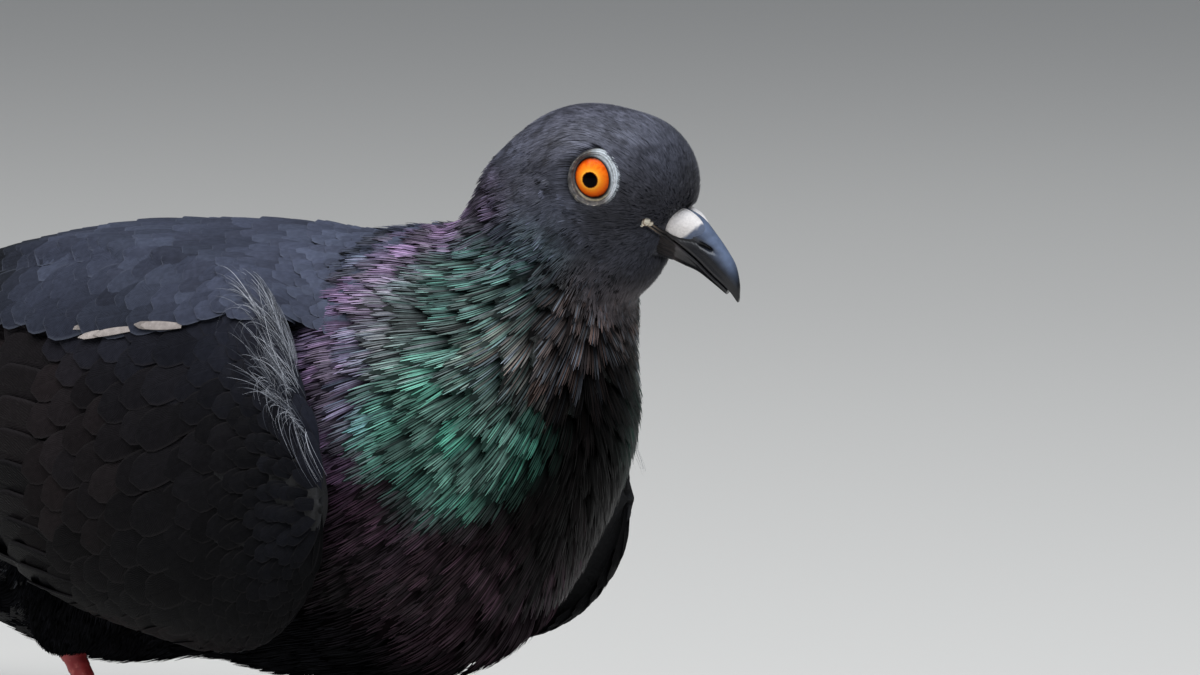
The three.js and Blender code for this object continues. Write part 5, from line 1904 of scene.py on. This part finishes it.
def make_eye_ring(side, name):
    """The bare, finely wrinkled skin round an eye, from the lids' margin out to the first feathers."""
    around, across = 180, 29
    turn = np.arange(around) * 2 * math.pi / around
    turn, share = np.meshgrid(turn, np.linspace(0, 1, across), indexing="ij")
    inner_x, inner_z = between_lids(turn)
    x = lerp(inner_x, RING_CENTRE[0] + (RING_HALF[0] + 0.5) * np.cos(turn), share)
    z = lerp(inner_z, RING_CENTRE[1] + (RING_HALF[1] + 0.5) * np.sin(turn), share)
    on_ball = EYE_OFFSET + np.sqrt(np.maximum(EYE_RADIUS**2 - np.minimum(x**2 + z**2, 23), 0.05))
    y = lerp(on_ball + 0.03, face_y(x, z, side, -0.25), smooth(0.02, 0.7, share))
    lid = 0.17 * np.exp(-(((share - LID_SHARE) / 0.06) ** 2))
    swell = 0.3 * np.exp(-(((share - 0.42) / 0.24) ** 2))
    local = np.stack([x, side * y, z], -1)
    waver = noise(local, 1.6, 6) * 1.2
    wrinkles = 0.055 * np.sin(share * 2 * math.pi * 5 + waver) * smooth(0.15, 0.3, share)
    grains = noise(local, 0.34, 7) * 0.055 + noise(local, 0.17, 8) * 0.03
    raised = lid + swell + (wrinkles + grains) * smooth(0.12, 0.3, share) * smooth(1, 0.85, share)
    local[..., 1] += side * (raised - 0.9 * smooth(0.84, 1, share))
    tint = ring_tint(local, turn, share, wrinkles, grains)
    faces = grid_faces(around, across, closed_rows=True)
    if side < 0:
        faces = faces[:, ::-1]
    points = from_head(local.reshape(-1, 3))
    piece = mesh_piece(name, points, faces, MATERIALS["ring"], {"tint": tint.reshape(-1, 3)})


# ----------------------------------------------------------------------------------------------------
# Bill

BILL_RIDGE = curve_through(
    [
        (8, -2.6), (14, -2.4), (18.5, -3.1), (22.4, -5.5),
        (25.3, -7.7), (27.6, -9.9), (29.3, -13), (29.9, -15.2),
    ]
)
MOUTH_LINE = curve_through(
    [
        (6, -5), (9.6, -6), (13.9, -7.6), (17.2, -9),
        (20.8, -10.6), (23.7, -12.2), (27.8, -14.4), (29.9, -16.3),
    ]
)
BILL_KEEL = curve_through([(8, -10.6), (14, -12.1), (18, -12.7), (21, -13), (24, -14), (28, -15.6)])
BILL_HALF_WIDTH = curve_through([(8, 4.6), (14, 4.2), (18, 3.2), (23, 2.5), (27, 1.8), (29.9, 0.5)])


GAPE_X = 11.3
GAPE_RISE = 0.85  # of the lips towards the gape
# Lumps of the swelling: how far forward of the gape and above it, their size and their noise's seed
CRUSTS = [(-0.2, 0.3, 0.8, 31), (0.5, 0.1, 0.55, 41), (-0.6, -0.35, 0.45, 51)]
BILL_GROOVE = curve_through([(12, -6.4), (15.5, -7.5), (19, -7.3), (21, -7.6), (24, -8.4)])
NOSTRIL_X = (19.9, 23.2)


def upper_relief(x, z):
    """How far the side of the upper bill is pressed in by the groove under the cere and the nostril."""
    below = z - BILL_GROOVE(x)
    groove = 0.5 * np.exp(-((below / 0.5) ** 2)) * smooth(12, 14, x) * smooth(25.5, 22.5, x)
    slot = smooth(NOSTRIL_X[0], NOSTRIL_X[0] + 1.0, x) * smooth(NOSTRIL_X[1], NOSTRIL_X[1] - 1.0, x)
    lip = -0.14 * np.exp(-(((z - MOUTH_LINE(x) - 0.55) / 0.32) ** 2)) * smooth(29, 24, x)
    return groove + 0.8 * np.exp(-((below / 0.38) ** 2)) * slot + lip


def upper_tint(x, z):
    height = (z - MOUTH_LINE(x)) / np.maximum(BILL_RIDGE(x) - MOUTH_LINE(x), 0.3)
    # Bluish grey towards the ridge: a painted highlight, the sky's reflection along the top of the bill.
    tint = lerp(linear((24, 24, 28)), linear((104, 118, 146)), (smooth(0.35, 0.95, height) * 0.9)[..., None])
    tint = lerp(tint, linear((52, 48, 49)), (smooth(0.3, 0.1, height) * smooth(20, 14, x))[..., None])
    # Near black along the nostril: painted shade inside the opening.
    nostril = np.exp(-(((z - BILL_GROOVE(x)) / 0.45) ** 2)) * smooth(19.4, 20.6, x) * smooth(23.6, 22.4, x)
    tint = lerp(tint, linear((8, 8, 9)), nostril[..., None])
    return lerp(tint, linear((18, 18, 21)), smooth(26.5, 29.5, x)[..., None])


def lower_relief(x, z):
    return -0.18 * np.exp(-(((z - MOUTH_LINE(x) + 0.6) / 0.3) ** 2)) * smooth(28, 22, x)


def lower_tint(x, z):
    tint = lerp(linear((86, 78, 78)), linear((22, 22, 26)), smooth(13.5, 19, x)[..., None])
    edge = np.exp(-(((z - MOUTH_LINE(x) + 0.6) / 0.5) ** 2)) * smooth(24, 12, x)
    return lerp(tint, linear((96, 92, 94)), 0.5 * edge[..., None])


BILL_START = 9  # along X in the head's frame, inside the head


def mandible(name, node_name, *, tip, low, high, width, flat_side, relief, tint):
    """Half of the bill, flat on the side of the mouth, between a low and a high line."""
    stations, sides = 110, 112
    x = lerp(BILL_START, tip, np.sin(np.linspace(0, 1, stations) * math.pi / 2) ** 0.95)
    angle = 2 * math.pi * (np.arange(sides) + 0.5) / sides
    x, angle = np.meshgrid(x, angle, indexing="ij")
    bottom, top = low(x), np.maximum(high(x), low(x) + 0.35)
    middle = top if flat_side > 0 else bottom
    reach = np.abs(np.sin(angle)) ** 0.85 * (top - bottom)
    is_flat = np.sin(angle) * flat_side > 0
    z = middle - flat_side * np.where(is_flat, 0, reach)
    y = width(x) * np.abs(np.cos(angle)) ** 0.75 * np.where(is_flat, 0.96, 1)
    y = np.maximum(y - relief(x, z) * smooth(0.3, 1.2, y), 0)
    rings = from_head(np.stack([x, -np.sign(np.cos(angle)) * y, z], -1))
    tints = tint(x, z).reshape(-1, 3)
    points, faces = capped(rings)
    tints = np.concatenate([tints, tints[:1], tints[-1:]])
    piece = mesh_piece(name, points, faces, MATERIALS["bill"], {"tint": tints})
    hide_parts(node_name)


def make_bill():
    mandible(
        "upper_bill",
        "bill_upper",
        tip=29.9,
        low=lambda x: MOUTH_LINE(x) + 0.15,
        high=BILL_RIDGE,
        width=BILL_HALF_WIDTH,
        flat_side=-1,
        relief=upper_relief,
        tint=upper_tint,
    )
    mandible(
        "lower_bill",
        "bill_lower",
        tip=27.4,
        low=BILL_KEEL,
        high=lambda x: MOUTH_LINE(x) - 0.15,
        width=lambda x: BILL_HALF_WIDTH(x) * 0.9,
        flat_side=1,
        relief=lower_relief,
        tint=lower_tint,
    )


CERE_AT, CERE_HALF, CERE_PITCH = (15.8, 1.75, -5.2), (5.25, 2.4, 2.95), 2
CERE_TURN = -9  # degrees that a lobe's front turns to the midline
CERE_GRID = (84, 112)  # rings along a lobe, points round it


def cere_lobe(side):
    """Points and tint of one bean-shaped lobe."""
    rings, around = CERE_GRID
    fall = np.linspace(0.001, math.pi - 0.001, rings)
    turn = np.arange(around) * 2 * math.pi / around
    fall, turn = np.meshgrid(fall, turn, indexing="ij")
    ball = np.stack([np.cos(fall), np.sin(fall) * np.cos(turn), np.sin(fall) * np.sin(turn)], -1)
    ball = ball.reshape(-1, 3)
    front = ball[:, 0]
    local = ball * CERE_HALF
    local[:, 1:] *= (1 - 0.16 * front - 0.06 * front**2)[:, None]
    local[:, 2] -= 0.9 * np.maximum(front, 0) ** 2
    grains = 0.022 * noise(ball, 0.3, 9) + 0.016 * noise(ball, 0.1, 10)
    local *= 1 + grains[:, None] * smooth(0.8, 0.35, front)[:, None]
    mirror = (1, side, 1)
    local = local @ turn_of(CERE_TURN, -CERE_PITCH).T * mirror + np.array(CERE_AT) * mirror
    # Darker in the pits of the grain: painted shade.
    chalk = linear((248, 242, 240)) * (1 + 3.0 * np.minimum(grains, 0))[:, None]
    edge = 19.3 + 0.35 * noise(local, 0.8, 12) + 0.75 * (local[:, 2] + 4.4)
    horny = smooth(edge - 0.35, edge + 0.45, local[:, 0])[:, None]
    return from_head(local), lerp(chalk, linear((104, 114, 136)), horny)


def make_cere():
    """Two chalky, bean-shaped lobes that meet over the base of the upper bill."""
    parts, tints = [], []
    for side in (-1, 1):
        points, tint = cere_lobe(side)
        faces = grid_faces(*CERE_GRID, closed_columns=True)
        parts.append((points, faces if side > 0 else faces[:, ::-1]))
        tints.append(tint)
    points, faces = joined(parts)
    piece = mesh_piece("cere_lobes", points, faces, MATERIALS["cere"], {"tint": np.concatenate(tints)})
    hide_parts("cere")


def lip(side, lean, seed):
    """Points, faces and tint of a lip over the face, above or below the line of the mouth."""
    stations = 50
    x = np.linspace(GAPE_X, 15.6, stations)
    z = MOUTH_LINE(x) + lean + GAPE_RISE * smooth(GAPE_X + 3.5, GAPE_X, x)
    y = np.maximum(face_y(x, z, side, -0.42), BILL_HALF_WIDTH(x) - 0.1)
    path = from_head(np.stack([x, side * y, z], -1))
    radii = 0.26 * np.sin(np.linspace(0.2, 1, stations) * math.pi * 0.55)
    points, faces = capped(tube(path, radii, 14))
    points = jittered(points, 0.05, 0.5, (seed, seed + 4, seed + 8))
    share = smooth(GAPE_X, GAPE_X + 2.6, to_head(points)[:, 0])[:, None]
    return points, faces, lerp(linear((140, 124, 106)), linear((42, 38, 38)), share)


def crust(side, off_x, off_z, size, seed):
    """Points, faces and tint of a crusty lump at the gape."""
    x, z = np.array([GAPE_X + off_x]), np.array([MOUTH_LINE(GAPE_X) + GAPE_RISE + off_z])
    middle = np.stack([x, side * (face_y(x, z, side, -0.35) - 0.15), z], -1)[0]
    share = np.linspace(0, 1, 29)
    path = from_head(middle + (share[:, None] - 0.5) * (1.5 * size, 0, 1.7 * size))
    radii = size * 0.85 * np.sqrt(np.clip(1 - (2 * share - 1) ** 2, 0.01, 1))
    points, faces = capped(tube(path, radii, 28))
    points = jittered(points, 0.11, 0.55, (seed, seed + 1, seed + 2))
    points = jittered(points, 0.05, 0.2, (seed + 3, seed + 4, seed + 5))
    spots = smooth(0.1, 0.6, noise(points, 0.7, seed + 6))[:, None]
    return points, faces, lerp(linear((222, 212, 192)), linear((128, 96, 72)), spots)


def make_gape():
    """Bare lips that run over the face from the bill back to a pale, crusty swelling at the gape."""
    made = []
    for side in (-1, 1):
        made += [lip(side, lean, seed) for lean, seed in ((0.34, 35), (-0.36, 36))]
        made += [crust(side, *lump) for lump in CRUSTS]
    points, faces = joined([part[:2] for part in made])
    tint = np.concatenate([part[2] for part in made])
    piece = mesh_piece("gape_lips", points, faces, MATERIALS["gape"], {"tint": tint})


def make_chin_feathers():
    """Short feathers that start on the lower bill's base and close the gap to the chin."""
    draw = np.random.default_rng(91)
    n, stations = 7000, 4
    around = draw.uniform(0, 1, n)  # from the mouth's edge on the right, under the keel, to the left
    angle = math.pi * (1 + around)
    low = 1 - np.abs(2 * around - 1)
    reach = draw.uniform(0, 1, n) ** 1.15 * lerp(6.2, 5.6, smooth(0.2, 0.9, low)) * draw.uniform(0.75, 1, n)
    start = 10.5 + reach
    length = draw.uniform(1.6, 2.8, n)
    share = np.linspace(0, 1, stations)
    x = start[:, None] - length[:, None] * share
    top, bottom = MOUTH_LINE(x) - 0.35, BILL_KEEL(x)
    lift = 0.04 + (0.35 + draw.uniform(0, 0.2, n))[:, None] * share**1.3
    round_y = (BILL_HALF_WIDTH(x) * 0.97 + lift) * np.abs(np.cos(angle))[:, None] ** 0.75
    y = np.sign(np.cos(angle))[:, None] * round_y
    z = top - (top - bottom + lift) * np.abs(np.sin(angle))[:, None] ** 0.85
    path = from_head(np.stack([x, y, z], -1).reshape(-1, 3)).reshape(n, stations, 3)
    outward = np.stack([np.zeros(n), np.cos(angle), np.sin(angle)], -1) @ HEAD_TURN.T
    normals = np.broadcast_to(outward[:, None], path.shape)
    brown = smooth(0.75, 0.2, low) * draw.uniform(0, 1, n)
    shades = lerp(linear((32, 32, 37)), linear((66, 58, 56)), brown[:, None])
    shades = shades * draw.uniform(0.6, 1.4, (n, 1))
    halves = draw.uniform(0.06, 0.1, (n, 1)) * HAIR_PROFILE
    strips = ribbons(path, normals, halves, draw.uniform(-0.3, 0.3, n))
    coat = Coat()
    coat.add(strips, shades, stretched(head_unwrapped(path[:, 0])))
    coat.piece("plumage_chin", MATERIALS["head"], "plumage_head")


# ----------------------------------------------------------------------------------------------------
# Feet


def toe_path(leg, toe, share):
    way = math.radians(leg["side"] * toe["angle"] + leg["turn"])
    radius = TOE_RADIUS * (1 - 0.25 * share)
    flat = np.clip(share / 0.3, 0, 1) ** 0.7
    z = lerp(FOOT_JOINT_HEIGHT, FLOOR + radius - SOLE_SINK, flat)
    x = leg["foot"] + share * toe["length"] * math.cos(way)
    y = leg["side"] * LEG_SPREAD + share * toe["length"] * math.sin(way)
    return np.stack([x, y, z], -1), way


LEG_SIDES = 32  # round a leg or a toe


def tarsus(leg):
    hock = hock_of(leg)
    joint = np.array([leg["foot"], leg["side"] * LEG_SPREAD, FOOT_JOINT_HEIGHT])
    share = np.linspace(0, 1.06, 120)
    radii = np.interp(
        share,
        [0, 0.1, 0.22, 0.5, 0.8, 0.94, 1.06],
        [
            HOCK_RADIUS,
            HOCK_RADIUS,
            TARSUS_RADIUS,
            TARSUS_RADIUS * 0.95,
            TARSUS_RADIUS,
            FOOT_JOINT_RADIUS,
            2.42,
        ],
    )
    scute = (share * np.linalg.norm(joint - hock) / 2.4) % 1
    radii = radii * (0.97 + 0.06 * scute**0.7 * (scute < 0.9))
    return capped(tube(hock + (joint - hock) * share[:, None], radii, LEG_SIDES))


def toe_skin(leg, toe):
    share = np.linspace(0, 1, 90)
    path, _ = toe_path(leg, toe, share)
    scute = (share * toe["length"] / 1.9) % 1
    pads = 1 + 0.07 * np.cos(2 * math.pi * 3 * share)
    end = np.sqrt(np.clip(1 - ((share - 0.9) / 0.101) ** 2, 0, 1)) * (share > 0.9) + (share <= 0.9)
    radii = TOE_RADIUS * (1 - 0.25 * share) * pads * (0.97 + 0.05 * scute**0.7) * np.maximum(end, 0.3)
    return capped(tube(path, radii, LEG_SIDES))


def make_foot(name, leg):
    """The scaled leg below the hock and its four toes, flat where they rest on the floor."""
    points, faces = joined([tarsus(leg)] + [toe_skin(leg, toe) for toe in TOES.values()])
    points[:, 2] = np.maximum(points[:, 2], FLOOR)
    off_floor = points[:, 2:3] > FLOOR + 0.2
    points = jittered(points, 0.03 * off_floor, 0.9, (21, 22, 23))
    piece = mesh_piece(name + "_skin", points, faces, MATERIALS["foot"])
    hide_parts(name)


CLAW_ROOT, CLAW_ARCH, CLAW_DROP = 1.6, 0.7, 0.95


def make_claw(name, leg, toe):
    base, way = toe_path(leg, toe, np.array([1.0]))
    share = np.linspace(0, 1, 26)
    out = toe["claw"] * share - CLAW_ROOT * (1 - share)
    z = base[0, 2] + CLAW_ARCH * np.sin(math.pi * share * 0.9) - CLAW_DROP * share**2
    path = np.stack([base[0, 0] + out * math.cos(way), base[0, 1] + out * math.sin(way), z], -1)
    radii = lerp(1.1, 0.12, share**0.9)
    points, faces = capped(tube(path, radii, 20))
    points[:, 2] = np.maximum(points[:, 2], FLOOR + 0.02)
    piece = mesh_piece(name + "_horn", points, faces, MATERIALS["claw"])
    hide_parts(name)


# ----------------------------------------------------------------------------------------------------
# Stage, light and camera

AZIMUTH, ELEVATION, DISTANCE = 42, 8, 1600
PIXELS_PER_MM = 5.4  # at the eye's distance, in a picture 1200 wide
EYE_PIXEL = (591.5, 178)
PICTURE = (1200, 675)
EYE_FRONT = 4.2  # from the eyeball's centre to what that pixel shows


def make_camera():
    a, e = math.radians(AZIMUTH), math.radians(ELEVATION)
    back = Vector((math.sin(a) * math.cos(e), -math.cos(a) * math.cos(e), math.sin(e)))
    right = Vector((math.cos(a), math.sin(a), 0))
    up = back.cross(right)
    yaw = math.radians(HEAD_YAW)
    eye = from_head((0, -EYE_OFFSET, 0)) + EYE_FRONT * np.array([math.sin(yaw), -math.cos(yaw), 0])
    aim = Vector(placed(eye))
    aim -= right * (EYE_PIXEL[0] - PICTURE[0] / 2) / PIXELS_PER_MM / 1000
    aim += up * (EYE_PIXEL[1] - PICTURE[1] / 2) / PIXELS_PER_MM / 1000
    data = bpy.data.cameras.new("Camera")
    data.sensor_width = 36
    data.lens = 36 * PIXELS_PER_MM * DISTANCE / PICTURE[0]
    data.clip_start, data.clip_end = 0.1, 20
    camera = bpy.data.objects.new("Camera", data)
    bpy.context.scene.collection.objects.link(camera)
    camera.location = aim + back * DISTANCE / 1000
    camera.rotation_mode = "QUATERNION"
    camera.rotation_quaternion = (-back).to_track_quat("-Z", "Y")
    bpy.context.scene.camera = camera


def make_floor():
    material, tree, shader = material_of("Pale floor", Roughness=0.8)
    shade = noise_node(tree, 1.3, 1.0)
    patches = ranged(tree, shade.outputs[0], 0.2, 0.8)
    colour = mixed(tree, patches, (0.6, 0.59, 0.575, 1), (0.64, 0.63, 0.61, 1))
    tree.links.new(colour, shader.inputs["Base Color"])
    mesh = bpy.data.meshes.new("Floor")
    half = 4.0
    corners = [(-half, -half, 0), (half, -half, 0), (half, half, 0), (-half, half, 0)]
    mesh.from_pydata(corners, [], [(0, 1, 2, 3)])
    mesh.materials.append(material)
    floor = bpy.data.objects.new("Floor", mesh)
    bpy.context.scene.collection.objects.link(floor)


def area_light(name, place, aim, size, power, colour):
    data = bpy.data.lights.new(name, "AREA")
    data.shape = "DISK"
    data.size = size
    data.energy = power
    data.color = colour
    light = bpy.data.objects.new(name, data)
    bpy.context.scene.collection.objects.link(light)
    light.location = place
    light.rotation_mode = "QUATERNION"
    light.rotation_quaternion = (Vector(aim) - Vector(place)).to_track_quat("-Z", "Y")


def make_light():
    world = bpy.data.worlds.new("Studio")
    bpy.context.scene.world = world
    world.use_nodes = True
    background = world.node_tree.nodes["Background"]
    background.inputs[0].default_value = (0.82, 0.9, 1.0, 1)
    background.inputs[1].default_value = 0.16
    middle = (0.02, 0, 0.09)
    area_light("Key", (-0.1, -0.7, 1.4), middle, 1.2, 19, (1, 0.99, 0.97))
    area_light("Top", (0.6, -0.15, 1.35), middle, 1.2, 15, (0.9, 0.95, 1))
    area_light("Front", (0.9, -0.9, 0.55), middle, 0.9, 0.8, (0.95, 0.97, 1))


def colour_as_made():
    """Colours come out as they are set, with no film curve."""
    bpy.context.scene.view_settings.view_transform = "Standard"


# ----------------------------------------------------------------------------------------------------
# The bird


def make_bird():
    skin = make_skin()
    make_head_coat(*skin)
    make_neck_coat(skin)
    make_body_coat(skin)
    make_mantle_coat()
    for side in ("right", "left"):
        make_wing(side)
    make_tail()
    make_tail_coverts()
    for side, name in ((-1, "eye_right"), (1, "eye_left")):
        make_eye(side, name)
        make_eye_ring(side, name + "_ring")
    make_bill()
    make_cere()
    make_gape()
    make_chin_feathers()
    for name, leg in LEGS.items():
        make_foot("foot_" + name, leg)
        for toe_name, toe in TOES.items():
            make_claw("claw_" + name + "_" + toe_name, leg, toe)


make_bird()
make_floor()
make_light()
make_camera()
colour_as_made()
